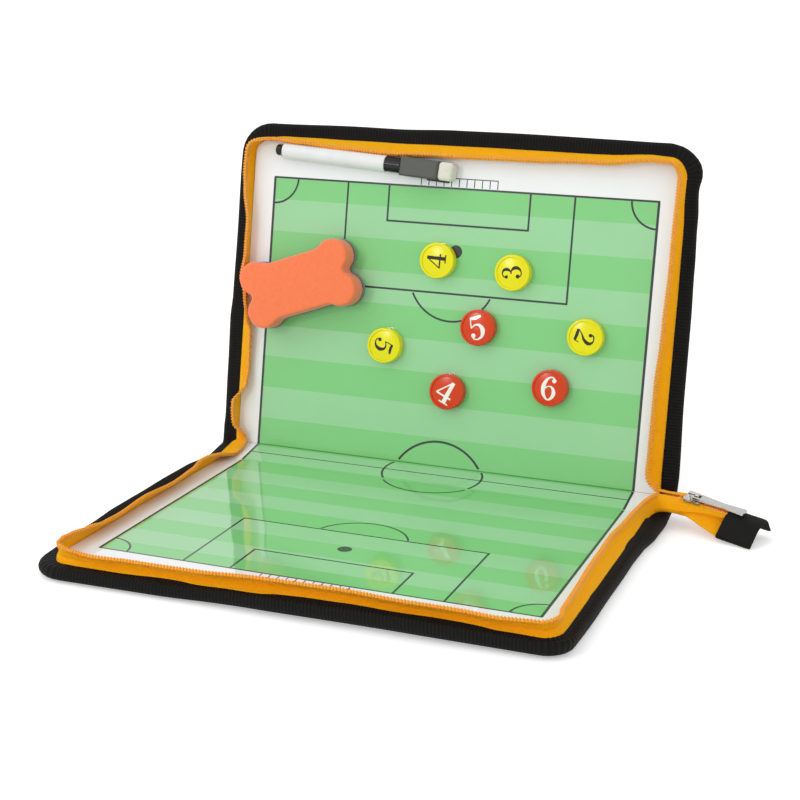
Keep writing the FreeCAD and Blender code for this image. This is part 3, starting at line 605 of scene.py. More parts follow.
SHIFTS = {
    "lower_half": [
        (0, 0), (198, 0), (210, 2.2), (219, 3.2), (231, 3.5), (290, 3.5), (317, 2.5), (332, 2.0),
        (480, 2.0), (500, 0), (ZIP_RUN, 0),
    ],
    "upper_half": [
        (0, 0), (SIDE_RUN - 10, 0), (SIDE_RUN + 2, 3.0), (SIDE_RUN + 14, 3.6), (SIDE_RUN + 40, 2.2),
        (SIDE_RUN + FRONT_RUN - 14, 2.2), (SIDE_RUN + FRONT_RUN + 10, 0), (ZIP_RUN, 0),
    ],
}
# Rise of the crease up the wall, and how high the wall's foot stands before it leans: always, and what is
# added past the edge of the sheet and where the wall lies nearly flat
CREASE_RISE = 4.6
FOOT_RISE = 0.4
SHEET_RISE = 1.7
LYING_RISE = 2.1


def clipped(share):
    """Share held between none and all."""
    return min(1.0, max(0.0, share))


def leaned(out, rise, lean, kink=0.0, length=CREASE_RISE, foot=0.0):
    """Place of a point of the upright wall once its upper part leans, and its lower part leans further in by
    the kink. A wall that leans in rises past the edge of the sheet first, and higher where it lies nearly
    flat, but not where its foot stands out from the sheet."""
    low = lean - kink
    hinge = SHEET_RISE * clipped((-low - 8) / 20) + LYING_RISE * clipped((-lean - 45) / 40)
    hinge = FOOT_RISE + hinge * max(0.0, 1 - foot / 2)
    if rise <= hinge:
        return out, rise
    turn = math.radians(low)
    span = CREASE_RISE - hinge
    up = min(rise - hinge, span) * (length - hinge) / span
    over, high = up * math.sin(turn), hinge + up * math.cos(turn)
    if rise > CREASE_RISE:
        turn = math.radians(lean)
        over += (rise - CREASE_RISE) * math.sin(turn)
        high += (rise - CREASE_RISE) * math.cos(turn)
    return over + out * math.cos(turn), high - out * math.sin(turn)


def lean_at(body, run):
    """Lean of a half's zip wall, with the small waves of loose cloth."""
    return between(LEANS[body], run) + 1.2 * math.sin(run / 17.0) + 0.8 * math.sin(run / 7.3 + 2)


def stood(body, out, run, rise):
    """Place of a point of a half's zip wall, which leans out from the flange, or in over the sheet."""
    foot = between(SHIFTS[body], run)
    kink, length = between(KINKS[body], run), between(LENGTHS[body], run)
    over, up = leaned(out, rise, lean_at(body, run), kink, length, foot)
    return over + foot, up


def lean_shape(body):
    """Tape or coil that stands as the half's wall does."""

    def shape(out, run, rise):
        return stood(body, out, run, rise)

    return shape


def rim_shape(body):
    """Cloth rim that curls a little and whose inner edge rides up the zip tape here and there."""

    def shape(out, run, rise):
        ruffle = between(RUFFLES[body], run) + 0.25 * math.sin(run / 9.0) * math.sin(run / 23.0)
        near = max(0.0, 1 - (out - RIM_START) / RUFFLE_WIDTH) if rise > RIM_BACK else 0.0
        over, up = stood(body, 0.0, run, max(0.0, ruffle) * near * near)
        foot = between(SHIFTS[body], run)
        over -= foot
        wave = 0.25 * math.sin(run / 31.0 + 1.0) + 0.15 * math.sin(run / 13.0)
        away = max(0.0, out / ZIP_LINE)
        reach = away * (wave + between(DRAWS[body], run)) + (1 - away) * (foot if rise > RIM_BACK else 0.0)
        return out + reach + over, rise + up + away * away * between(CURLS[body], run)

    return shape


# Where cloth turns over a crease, it is given by stations of points, in millimetres of the row. An end is how
# far from a crease such a turn begins, and a stretch between two stations has this many parts.
LEFT_END = 26.0
RIGHT_END = 40.0
RIM_END = 10.0
PARTS = 9


def side_points(body, side, reach, section, tilt=0.0):
    """Station of a section of (out, rise) points at one side of a leaf, tilted about its foot in degrees."""
    place = PLACES[body] @ Matrix.Translation((0, reach, 0)) @ Matrix.Rotation(math.radians(tilt), 4, "X")
    return [place @ Vector((side * (ZIP_SIDE + out), 0, FLANGE + rise)) / MM for out, rise in section]


def eased(stations):
    """Rows of points that run smoothly from station to station."""
    flat = [[number for point in station for number in point] for station in stations]
    return [[Vector(row[at : at + 3]) for at in range(0, len(row), 3)] for row in smooth_points(flat, PARTS)]


HALF_TURN = math.degrees(UPPER_RISE - SPINE_RISE) / 2


def rim_turn(side):
    """Rim at one end of the spine, from the lower half to the upper one, as rows for each crease."""
    flat = plain = rim_section()
    low, high = (RIM_END, ZIP_RUN - RIM_END) if side < 0 else (ZIP_RUN - RIM_END, RIM_END)
    if side < 0:
        # At the left end the rim stands out further and rides in over the lying zip
        plain = []
        for out, rise in flat:
            near = max(0.0, 1 - (out - RIM_START) / RUFFLE_WIDTH) ** 2 if rise > RIM_BACK else 0.0
            plain.append((out + 2.2 * max(0.0, out / ZIP_LINE) - 1.2 * near, rise + 2.2 * near))
    lower = [rim_shape("lower_half")(out, low, rise) for out, rise in flat]
    upper = [rim_shape("upper_half")(out, high, rise) for out, rise in flat]
    rows = eased([
        side_points("lower_half", -side, RIM_END, lower),
        side_points("spine", side, 0, plain, -math.degrees(SPINE_RISE) / 2),
        side_points("spine", side, 7, plain),
        side_points("spine", side, 13, plain),
        side_points("spine", side, 20, plain, 0.3 * HALF_TURN),
        side_points("spine", side, SPINE_WIDTH, plain, HALF_TURN),
        side_points("upper_half", side, 5, plain, -0.3 * HALF_TURN),
        side_points("upper_half", side, RIM_END, upper),
    ])
    return {"front": rows[: 3 * PARTS + 1], "rear": rows[3 * PARTS :]}


def cover_panel(body, width, depth, crown):
    """Padded panel: a crowned sheet behind, drawn in under the binding and closed on the board's side."""
    bm = begin()
    half, start, end = width / 2, GAP, depth
    middle = Matrix.Translation((0, (start + end) / 2, 0))
    scale = Matrix.Diagonal((half, (end - start) / 2, 1, 1))
    bmesh.ops.create_grid(bm, x_segments=40, y_segments=28, size=1, matrix=middle @ scale)
    weave = bm.verts.layers.float_vector["weave"]
    for vert in bm.verts:
        x, y = vert.co.x, vert.co.y
        vert[weave] = (x, y, 0)
        edge = min(half - abs(x), end - y, y - start)
        swell = 1 - (1 - min(edge / 40, 1)) ** 2
        pillow = math.cos(x / half * math.pi / 2) * math.sin((y - start) / (end - start) * math.pi)
        vert.co.z = UNDERSIDE + 1.3 - 1.25 * min(1, swell * 3) - crown * (0.4 * swell + 0.6 * pillow)
    region = bmesh.ops.extrude_face_region(bm, geom=bm.faces[:])["geom"]
    for item in region:
        if isinstance(item, bmesh.types.BMVert):
            item.co.z = FLANGE - 0.1
    return laid(bm, PLACES[body])


def fold_cloth(hinge, first, last, flap):
    """Strip of cover cloth that bends round the outside of a crease, and its middle line, in millimetres."""
    radius, half, side = -UNDERSIDE - 0.75, 0.35, HALF_WIDTH - 5.5
    middle, outward = [], []
    for angle, away in ((first, -1), (last, 1)):
        down = Vector((0, math.sin(angle), -math.cos(angle)))
        along = Vector((0, math.cos(angle), math.sin(angle))) * away
        ends = [flap, flap / 2] if away < 0 else [flap / 2, flap]
        points = [hinge / MM + radius * down + reach * along for reach in ends]
        if away < 0:
            for index in range(17):
                turn = first + (last - first) * index / 16
                bent = Vector((0, math.sin(turn), -math.cos(turn)))
                points.append(hinge / MM + radius * bent)
                outward.append(bent)
            outward = [down, down] + outward
        else:
            outward += [down, down]
        middle += points
    rings = []
    for index in range(25):
        x = Vector((side * (index / 12 - 1), 0, 0))
        outer = [x + point + half * way for point, way in zip(middle, outward)]
        inner = [x + point - half * way for point, way in zip(middle, outward)]
        rings.append(outer + inner[::-1])
    return loft(begin(), rings), middle


class TACTICS_OT_case(bpy.types.Operator):
    """Padded covers, spine and ribbed edge bindings"""

    bl_idname = "tactics.case"
    bl_label = "Padded Case"

    def execute(self, context):
        look = context.scene.tactics_case
        cloth = woven_polyester("woven_black_polyester", look.cloth)
        ribbon = ribbed_binding("ribbed_black_binding", look.binding, look.rib_pitch / MM)
        for body, crown in (("lower_half", 0.0), ("upper_half", 1.2)):
            half = body.split("_")[0]
            bm = cover_panel(body, 2 * ZIP_SIDE, ZIP_END, crown)
            cover = finished(bm, half + "_padded_cover", cloth, body)
            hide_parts(half + "_cover")
            bm = wrap(strip(rim_section(), RIM_END, ZIP_RUN - RIM_END, 2.0), body, rim_shape(body))
            rim = finished(bm, half + "_ribbed_rim", ribbon, body)
            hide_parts(half + "_edge_binding")
        bm = cover_panel("spine", 2 * ZIP_SIDE, SPINE_WIDTH - GAP, 0.3)
        cover = finished(bm, "spine_padded_cover", cloth, "spine")
        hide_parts("spine_cover")
        for name, side in (("left", -1), ("right", 1)):
            for crease, rows in rim_turn(side).items():
                bm = laid(loft(begin(), rows), Matrix.Scale(MM, 4))
                rim = finished(bm, "_".join((name, crease, "rim_turn")), ribbon)
                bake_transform(rim)
                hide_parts("spine_edge_binding")
        flap = 6.0
        for name, hinge, first, last, bodies in (
            ("front", LOWER_CREASE, 0.0, SPINE_RISE, ("lower_half", "spine")),
            ("rear", UPPER_CREASE, SPINE_RISE, UPPER_RISE, ("spine", "upper_half")),
        ):
            bm, middle = fold_cloth(hinge, first, last, flap)
            fold = finished(laid(bm, Matrix.Scale(MM, 4)), name + "_crease_cloth", cloth, None, 60)
            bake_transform(fold)
        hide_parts("rear_fold_cloth")
        return {"FINISHED"}


# Zip round the case
# Heights of a station's points up the wall, from the tape's foot to its top edge, and last the coil's middle
TAPE_RISES = (-0.3, 0.8, 2.1, CREASE_RISE, 7.3, 10.0)
COIL_RISE = 11.05
RISES = (*TAPE_RISES, COIL_RISE)
TAPE_EDGE = len(TAPE_RISES) - 1
TAPE_SECTION = [
    (-TAPE_HALF, TAPE_RISES[0]),
    *((TAPE_HALF, rise) for rise in TAPE_RISES),
    *((-TAPE_HALF, rise) for rise in reversed(TAPE_RISES[1:])),
]
CORE_SECTION = [
    (-0.85, 10.1), (-0.5, 9.8), (0.5, 9.8), (0.85, 10.1),
    (0.85, 11.6), (0.5, 12.0), (-0.5, 12.0), (-0.85, 11.6),
]
TOOTH = Matrix.Diagonal((2.3, 1.15, 2.9, 1))


def tooth(bm, place):
    """Adds one rounded tooth to a coil."""
    made = bmesh.ops.create_cube(bm, size=1, matrix=place @ TOOTH)["verts"]
    edges = {edge for vert in made for edge in vert.link_edges}
    bmesh.ops.bevel(
        bm, geom=list(edges), offset=0.28, offset_type="OFFSET", segments=1, profile=0.5,
        affect="EDGES", material=-1,
    )


def wall_points(body, side, reach, lean, tilt=0.0, wide=1.0, high=1.0):
    """Station of a zip wall that leans evenly at one side of a leaf."""
    section = [leaned(0, rise, lean) for rise in RISES]
    return side_points(body, side, reach, [(out * wide, rise * high) for out, rise in section], tilt)


def half_points(body, side, reach):
    """Station of a half's own zip wall, at a reach from its crease."""
    run = reach if side > 0 else ZIP_RUN - reach
    return side_points(body, side, reach, [stood(body, 0, run, rise) for rise in RISES])


def tape_skin(rows):
    """Tape of even thickness over rows of points."""
    rings = []
    for index, row in enumerate(rows):
        before, after = rows[max(index - 1, 0)], rows[min(index + 1, len(rows) - 1)]
        face = []
        for at in range(TAPE_EDGE + 1):
            width = row[min(at + 1, TAPE_EDGE)] - row[max(at - 1, 0)]
            face.append((after[at] - before[at]).cross(width).normalized() * TAPE_HALF)
        pairs = list(zip(row, face))
        rings.append([point + step for point, step in pairs] + [point - step for point, step in pairs[::-1]])
    return loft(begin(), rings)


def coil_skin(rows, pitch):
    """Coil and its teeth along the last points of the rows."""
    bm = begin()
    rings, places, runs = [], [], [0.0]
    for index, row in enumerate(rows):
        before, after = rows[max(index - 1, 0)], rows[min(index + 1, len(rows) - 1)]
        along = (after[-1] - before[-1]).normalized()
        rise = row[-1] - row[TAPE_EDGE]
        rise = (rise - along * rise.dot(along)).normalized()
        out = along.cross(rise)
        rings.append([row[-1] + out * x + rise * (z - COIL_RISE) for x, z in CORE_SECTION])
        places.append(Matrix((out, along, rise)).transposed().to_4x4())
        if index:
            runs.append(runs[-1] + (row[-1] - rows[index - 1][-1]).length)
    loft(bm, rings)
    for index in range(int(runs[-1] / pitch)):
        run = (index + 0.5) * pitch
        at = max(step for step, reached in enumerate(runs[:-1]) if reached <= run)
        share = (run - runs[at]) / max(runs[at + 1] - runs[at], 1e-6)
        tooth(bm, Matrix.Translation(rows[at][-1].lerp(rows[at + 1][-1], share)) @ places[at])
    return bm


def left_stations():
    """Zip that lies in over the sheet while it crosses both creases at the spine's left end."""
    return [
        half_points("lower_half", 1, LEFT_END),
        half_points("lower_half", 1, 12),
        wall_points("spine", -1, 0, -84, -math.degrees(SPINE_RISE) / 2, 1.3),
        wall_points("spine", -1, 7, -95, 0, 1.4),
        wall_points("spine", -1, 13, -97, 0, 1.4),
        wall_points("spine", -1, 20, -90, 0.4 * HALF_TURN, 1.3),
        wall_points("spine", -1, SPINE_WIDTH, -72, HALF_TURN, 1.1, 1.1),
        wall_points("upper_half", -1, 6, -42, -0.4 * HALF_TURN),
        wall_points("upper_half", -1, 13, -8),
        half_points("upper_half", -1, LEFT_END),
    ]


class TACTICS_OT_zip(bpy.types.Operator):
    """Zip tape and toothed coil round both halves and across the spine's left end"""

    bl_idname = "tactics.zip"
    bl_label = "Zip Round the Case"

    def execute(self, context):
        look = context.scene.tactics_case
        ribbon = zip_ribbon("woven_orange_zip_tape", look.tape)
        wire = nylon_coil("orange_nylon_coil", look.coil)
        pitch = look.tooth_pitch / MM
        for body, start, end in (
            ("lower_half", LEFT_END, ZIP_RUN - RIGHT_END),
            ("upper_half", RIGHT_END, ZIP_RUN - LEFT_END),
        ):
            half = body.split("_")[0]
            bm = wrap(strip(TAPE_SECTION, start, end, 2.5), body, lean_shape(body))
            tape = finished(bm, half + "_standing_tape", ribbon, body)
            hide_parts(half + "_zip_tape")
            bm = strip(CORE_SECTION, start, end, 2.5)
            for index in range(int((end - start) / pitch)):
                tooth(bm, Matrix.Translation((0, start + (index + 0.5) * pitch, COIL_RISE)))
            coil = finished(wrap(bm, body, lean_shape(body)), half + "_standing_coil", wire, body)
            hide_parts(half + "_zip_coil")
        rows = eased(left_stations())
        for crease, part in (("front", rows[: 4 * PARTS + 1]), ("rear", rows[4 * PARTS :])):
            for kind, bm, material in (
                ("tape", tape_skin(part), ribbon),
                ("coil", coil_skin(part, pitch), wire),
            ):
                name = "_".join(("left", crease, "zip", kind))
                piece = finished(laid(bm, Matrix.Scale(MM, 4)), name, material)
                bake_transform(piece)
                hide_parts("spine_zip_" + kind)
        return {"FINISHED"}


# Printed pitch. Sizes of the markings, the ink's level and its thickness are in millimetres. The bold values
# say how many times wider than a line the circle and the border are.
BOX_HALF = 76.6
AREA_HALF = 47.7
SPOT_RADIUS = 4.2
SPOT_SHIFT = 1.0
CORNER_ARC = 17
NET_HALF = 25.8
NET_POSTS = 11
NET_START, NET_BACK = 5.6, 6.3
CIRCLE = 33.2
CIRCLE_BEYOND = 17.0
CIRCLE_BOLD = 1.15
BORDER_BOLD = 1.3
HALFWAY = 14.0
INK_LEVEL = 0.02
INK_THICK = 0.06
# Reach of the box, the goal area, the spot and the penalty arc's middle, the arc's radius and the net's shift
HALF_MARKINGS = {
    "lower_half": (103.2, 148.2, 128.6, 112.0, 29.1, 1.8),
    "upper_half": (112.6, 156.6, 139.8, 123.9, 29.1, -0.2),
}


def bar(bm, start, end, width):
    """Straight marking between two points of a sheet."""
    start, end = Vector(start), Vector(end)
    run = end - start
    turn = Matrix.Rotation(math.atan2(run.y, run.x), 4, "Z")
    middle = (start + end) / 2
    place = Matrix.Translation((middle.x, middle.y, INK_LEVEL)) @ turn
    size = Matrix.Diagonal((run.length + width, width, INK_THICK, 1))
    bmesh.ops.create_cube(bm, size=1, matrix=place @ size)


def arc(bm, middle, radius, start, end, width, squeeze=1.0, level=INK_LEVEL):
    """Curved marking from one angle to another, in degrees."""
    first = math.radians(start)
    points = [(radius - width / 2, -INK_THICK / 2), (radius + width / 2, -INK_THICK / 2)]
    points += [(x, INK_THICK / 2) for x, _ in reversed(points)]
    ring = [bm.verts.new((x * math.cos(first), x * math.sin(first), level + z)) for x, z in points]
    face = bm.faces.new(ring)
    steps = max(8, round(abs(end - start) / 4))
    before = set(bm.verts) - set(ring)
    bmesh.ops.spin(
        bm, geom=[face, *face.edges, *ring], cent=(0, 0, 0), axis=(0, 0, 1),
        angle=math.radians(end - start), steps=steps, use_merge=False, use_duplicate=False,
    )
    made = [vert for vert in bm.verts if vert not in before]
    bmesh.ops.transform(
        bm, matrix=Matrix.Translation((*middle, 0)) @ Matrix.Diagonal((1, squeeze, 1, 1)), verts=made
    )


def spot(bm, middle, radius):
    """Round marking."""
    bmesh.ops.create_cone(
        bm, cap_ends=True, segments=40, radius1=radius, radius2=radius, depth=INK_THICK,
        matrix=Matrix.Translation((*middle, INK_LEVEL)),
    )


def crossing(radius, distance):
    """Angle in degrees at which a circle crosses a line at a distance from its middle."""
    return math.degrees(math.asin(distance / radius))


def half_markings(settings, box_reach, area_reach, spot_reach, arc_middle, arc_radius, net_shift):
    """Border, both boxes, penalty arc, corner arcs and net of one half."""
    bm = begin()
    side, goal, width = settings.pitch_half / MM, settings.goal_line / MM, settings.line / MM
    half = width / 2
    for x in (-side, side):
        bar(bm, (x, GAP + half), (x, goal - width), width * BORDER_BOLD)
    bar(bm, (-side, goal), (side, goal), width)
    for reach, across in ((box_reach, BOX_HALF), (area_reach, AREA_HALF)):
        bar(bm, (-across, reach), (across, reach), width)
        for x in (-across, across):
            bar(bm, (x, reach + width), (x, goal - width), width)
    spot(bm, (SPOT_SHIFT, spot_reach), SPOT_RADIUS)
    low = crossing(arc_radius, arc_middle - box_reach + width)
    arc(bm, (0, arc_middle), arc_radius, 180 + low, 360 - low, width)
    for way, start in ((-1, 270), (1, 180)):
        arc(bm, (way * side, goal), CORNER_ARC, start + 1, start + 89, width, level=0.75 * INK_LEVEL)
    net = [net_shift + NET_HALF * (2 * index / (NET_POSTS - 1) - 1) for index in range(NET_POSTS)]
    for x in net:
        bar(bm, (x, goal + width), (x, goal + NET_START), half)
    bar(bm, (net[0], goal + NET_BACK), (net[-1], goal + NET_BACK), half)
    # The centre circle, whose middle lies beyond the crease
    low = crossing(CIRCLE, CIRCLE_BEYOND + GAP + width)
    arc(bm, (0, -CIRCLE_BEYOND), CIRCLE, low, 180 - low, width * CIRCLE_BOLD)
    return bm


def spine_markings(settings):
    """Halfway line, the sides of the centre circle and the border across the spine."""
    bm = begin()
    side, width = settings.pitch_half / MM, settings.line / MM
    squeeze = SPINE_WIDTH / 2 / CIRCLE_BEYOND
    for x in (-side, side):
        bar(bm, (x, GAP + width), (x, SPINE_WIDTH - GAP - width), width * BORDER_BOLD)
    bar(bm, (-side + width, HALFWAY), (side - width, HALFWAY), width * 0.6)
    top = crossing(CIRCLE, (SPINE_WIDTH - HALFWAY - 2 * GAP - width / 2) / squeeze)
    bottom = crossing(CIRCLE, (HALFWAY - 2 * GAP - width / 2) / squeeze)
    for start, end in ((-bottom, top), (180 - top, 180 + bottom)):
        arc(bm, (0, HALFWAY), CIRCLE, start, end, width * CIRCLE_BOLD, squeeze)
    return bm


class TACTICS_OT_pitch(bpy.types.Operator):
    """Laminated pitch sheets with their printed markings"""

    bl_idname = "tactics.pitch"
    bl_label = "Printed Pitch"

    def execute(self, context):
        look = context.scene.tactics_print
        ink = printing_ink("laminated_line_ink", look.ink)
        markings = {body: half_markings(look, *sizes) for body, sizes in HALF_MARKINGS.items()}
        markings["spine"] = spine_markings(look)
        for body, bm in markings.items():
            leaf = body.split("_")[0]
            halfway = SPINE_WIDTH / 2 if body == "spine" else -SPINE_WIDTH / 2
            dress(laminated_print("laminated_pitch_" + leaf, body, look, halfway), leaf + "_pitch_sheet")
            lines = finished(laid(bm, PLACES[body]), leaf + "_pitch_markings", ink, body)
        return {"FINISHED"}


# Counters
# Strokes of each digit as (x, y, width) points in a height of one, and its round ends as (x, y, radius)
DIGITS = {
    "2": (
        [
            [(-0.24, 0.24, 0.05), (-0.2, 0.4, 0.07), (0, 0.475, 0.06), (0.17, 0.39, 0.13),
             (0.21, 0.22, 0.18), (0.1, 0.0, 0.13), (-0.1, -0.17, 0.07), (-0.28, -0.38, 0.05)],
            [(-0.29, -0.425, 0.13), (0.0, -0.41, 0.16), (0.27, -0.43, 0.13)],
            [(0.28, -0.46, 0.05), (0.29, -0.34, 0.05), (0.31, -0.2, 0.045)],
        ],
        [(-0.19, 0.25, 0.09)],
    ),
    "3": (
        [
            [(-0.22, 0.3, 0.05), (-0.14, 0.44, 0.06), (0.03, 0.475, 0.06), (0.17, 0.38, 0.13),
             (0.18, 0.2, 0.16), (0.08, 0.06, 0.08), (-0.07, 0.03, 0.045)],
            [(-0.07, 0.03, 0.045), (0.1, 0.0, 0.07), (0.22, -0.15, 0.17), (0.2, -0.34, 0.15),
             (0.04, -0.47, 0.07), (-0.15, -0.46, 0.05), (-0.27, -0.31, 0.05)],
        ],
        [(-0.18, 0.29, 0.085), (-0.21, -0.29, 0.1)],
    ),
    "4": (
        [
            [(0.12, -0.46, 0.18), (0.12, 0.0, 0.17), (0.12, 0.5, 0.16)],
            [(0.1, 0.48, 0.06), (-0.12, 0.16, 0.055), (-0.35, -0.17, 0.06)],
            [(-0.38, -0.19, 0.075), (0.0, -0.19, 0.075), (0.34, -0.19, 0.075)],
            [(-0.1, -0.47, 0.06), (0.12, -0.47, 0.06), (0.33, -0.47, 0.06)],
        ],
        [],
    ),
    "5": (
        [
            [(-0.19, 0.43, 0.13), (0.05, 0.42, 0.14), (0.27, 0.46, 0.1)],
            [(-0.2, 0.47, 0.05), (-0.22, 0.25, 0.05), (-0.24, 0.03, 0.05)],
            [(-0.24, 0.03, 0.045), (-0.05, 0.13, 0.07), (0.14, 0.08, 0.13), (0.23, -0.14, 0.19),
             (0.14, -0.38, 0.12), (-0.06, -0.475, 0.06), (-0.22, -0.43, 0.05), (-0.28, -0.3, 0.05)],
        ],
        [(-0.22, -0.29, 0.095)],
    ),
    "6": (
        [
            [(0.23, 0.38, 0.05), (0.08, 0.475, 0.055), (-0.11, 0.38, 0.1), (-0.23, 0.08, 0.18),
             (-0.2, -0.26, 0.15), (0, -0.475, 0.06), (0.17, -0.36, 0.12), (0.23, -0.15, 0.16),
             (0.15, 0.04, 0.1), (0.0, 0.09, 0.05), (-0.15, 0.0, 0.045)],
        ],
        [(0.18, 0.34, 0.09)],
    ),
}
DIGIT_TURNS = {
    "yellow_2": -106, "yellow_3": 99, "yellow_4": 88, "yellow_5": -108,
    "red_4": -25, "red_5": 17, "red_6": -5,
}
FIGURE_THICK = 0.05
# Sizes of a counter's solids: its gap to the sheet, height and the recess, edge, dome and radius of its face
COUNTER_GAP = 0.2
COUNTER_HEIGHT = 6.5
FACE_RECESS = 1.0
FACE_EDGE = 0.45
FACE_DOME = 0.75
FACE_RADIUS = 9.85


def digit(figure, height):
    """Bold figure with thick and thin strokes, drawn flat in millimetres about its middle."""
    strokes, balls = DIGITS[figure]
    bm = begin()
    for points in strokes:
        curve = smooth_points(points)
        rings = []
        for index, (x, y, width) in enumerate(curve):
            before, after = curve[max(index - 1, 0)], curve[min(index + 1, len(curve) - 1)]
            along = Vector((after[0] - before[0], after[1] - before[1], 0)).normalized()
            across = Vector((-along.y, along.x, 0)) * width / 2
            middle = Vector((x, y, 0))
            deep = Vector((0, 0, FIGURE_THICK / height / 2))
            corners = ((-1, -1), (1, -1), (1, 1), (-1, 1))
            rings.append([(middle + side * across + face * deep) * height for side, face in corners])
        loft(bm, rings)
    for x, y, radius in balls:
        bmesh.ops.create_cone(
            bm, cap_ends=True, segments=20, radius1=radius * height, radius2=radius * height,
            depth=FIGURE_THICK * 1.2,
            matrix=Matrix.Translation((x * height, y * height, 0)),
        )
    return bm


class TACTICS_OT_counters(bpy.types.Operator):
    """Seven magnetic counters with their figures on the domed face"""

    bl_idname = "tactics.counters"
    bl_label = "Counters"

    def execute(self, context):
        look = context.scene.tactics_gear
        plastics = {
            "yellow": moulded_plastic("moulded_yellow_abs", look.yellow, 0.22, glow=0.15),
            "red": moulded_plastic("moulded_red_abs", look.red, 0.22, glow=0.15),
        }
        inks = {
            "yellow": printing_ink("black_figure_ink", linear("#16160F"), 0.1),
            "red": printing_ink("white_figure_ink", linear("#F4EFEA"), 0.1),
        }
        heights = {"yellow": look.yellow_digit / MM, "red": look.red_digit / MM}
        magnet = pressed_fibre("sintered_ferrite", linear("#3A3838"), 0.6, 0.6)
        for name in COUNTERS:
            tone, figure = name.split("_")
            node = "counter_" + name
            dress(plastics[tone], node + "_shell", node + "_face")
            dress(magnet, node + "_magnet")
            low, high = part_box(node + "_face")
            place = PLACES["upper_half"].inverted() @ ((low + high) / 2)
            bm = digit(figure, heights[tone])
            sphere = (FACE_RADIUS ** 2 + FACE_DOME ** 2) / (2 * FACE_DOME)
            top = COUNTER_GAP + COUNTER_HEIGHT - FACE_RECESS + FACE_EDGE + FACE_DOME
            for vert in bm.verts:
                away = vert.co.x ** 2 + vert.co.y ** 2
                vert.co.z += top + math.sqrt(sphere * sphere - away) - sphere
            turn = Matrix.Rotation(math.radians(DIGIT_TURNS[name]), 4, "Z")
            bm = laid(bm, PLACES["upper_half"] @ Matrix.Translation((place.x, place.y, 0)) @ turn)
            piece = finished(bm, node + "_figure", inks[tone], node)
        return {"FINISHED"}


# Pen and eraser
def softened(node, name, voxel, ease, fibre, material, body):
    """Copy of a soft solid with eased edges and a surface that is uneven by a fibre's height."""
    mesh = frame["nodes"][node].data.copy()
    mesh.materials.clear()
    source = bpy.data.objects.new(name + "_source", mesh)
    bpy.context.scene.collection.objects.link(source)
    bm = bmesh.new()
    bm.from_mesh(mesh)
    bmesh.ops.remove_doubles(bm, verts=bm.verts, dist=1e-6)
    bm.to_mesh(mesh)
    bm.free()
    remesh = source.modifiers.new("remesh", "REMESH")
    remesh.mode = "VOXEL"
    remesh.voxel_size = voxel * MM
    relax = source.modifiers.new("relax", "SMOOTH")
    relax.iterations = ease
    relax.factor = 0.5
    clouds = bpy.data.textures.new(name + "_unevenness", "CLOUDS")
    clouds.noise_scale = 3.0 * MM
    uneven = source.modifiers.new("uneven", "DISPLACE")
    uneven.texture = clouds
    uneven.strength = fibre * MM
    uneven.mid_level = 0.5
    graph = bpy.context.evaluated_depsgraph_get()
    shape = bpy.data.meshes.new_from_object(source.evaluated_get(graph))
    bpy.data.objects.remove(source)
    shape.name = name
    shape.materials.clear()
    shape.materials.append(material)
    shape.shade_smooth()
    piece = bpy.data.objects.new(name, shape)
    bpy.context.scene.collection.objects.link(piece)
    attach(piece, body)
    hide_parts(node)
    return piece


class TACTICS_OT_pen(bpy.types.Operator):
    """Marker pen with its magnetic cap and felt end"""

    bl_idname = "tactics.pen"
    bl_label = "Marker Pen"

    def execute(self, context):
        white = moulded_plastic("moulded_white_polypropylene", linear("#E2E3E3"), 0.25, glow=0.1)
        dress(white, "pen_barrel")
        black = moulded_plastic("moulded_black_abs", linear("#1B1B1B"), 0.2)
        dress(black, "pen_end_plug", "pen_collar")
        grey = moulded_plastic("textured_grey_abs", linear("#53544F"), 0.42, texture=0.6, relief=0.12)
        dress(grey, "pen_cap")
        dress(pressed_fibre("bonded_polyester_wick", linear("#2A2A2E"), 0.4), "pen_nib", "pen_ink_core")
        dress(pressed_fibre("rubber_bound_magnet", linear("#2C2B2B"), 0.5), "pen_cap_magnet")
        felt = pressed_felt("pressed_cream_felt", linear("#DDDCCD"))
        piece = softened("pen_cap_felt", "pen_felt_end", 0.45, 4, 0.35, felt, "pen_cap")
        return {"FINISHED"}


class TACTICS_OT_eraser(bpy.types.Operator):
    """Bone-shaped foam eraser on its felt"""

    bl_idname = "tactics.eraser"
    bl_label = "Eraser"

    def execute(self, context):
        look = context.scene.tactics_gear
        foam = cut_foam("die_cut_orange_foam", look.foam)
        bone = softened("eraser_foam", "eraser_bone", 0.7, 2, 0.22, foam, "eraser")
        felt = pressed_felt("pressed_grey_felt", linear("#4A4D4E"))
        base = softened("eraser_felt", "eraser_felt_base", 0.7, 2, 0.4, felt, "eraser")
        dress(pressed_fibre("ferrite_disc", linear("#3A3838"), 0.6), "eraser_magnets")
        return {"FINISHED"}


# Zip tail: from a knee beside the spine's right end, its line runs outwards along the tail, in millimetres of
# the spine
TAIL_KNEE = Vector((160.0, 16.38, 5.6))
TAIL_YAW = math.radians(15.9)
TAIL_DIP = math.radians(3.8)
TAIL_ACROSS = Vector((math.sin(TAIL_YAW), math.cos(TAIL_YAW), 0))
TAIL_AHEAD = Vector((math.cos(TAIL_YAW), -math.sin(TAIL_YAW), 0))
TAIL_ALONG = TAIL_AHEAD * math.cos(TAIL_DIP) - Vector((0, 0, math.sin(TAIL_DIP)))
TAIL_UP = TAIL_ALONG.cross(TAIL_ACROSS)
TAIL_RUN = 34.0
TAB_RUN = 22.0


def tail_points(run, section):
    """Station of the tail from (across, up) points."""
    return [
        PLACES["spine"] @ (TAIL_KNEE + run * TAIL_ALONG + across * TAIL_ACROSS + up * TAIL_UP) / MM
        for across, up in section
    ]


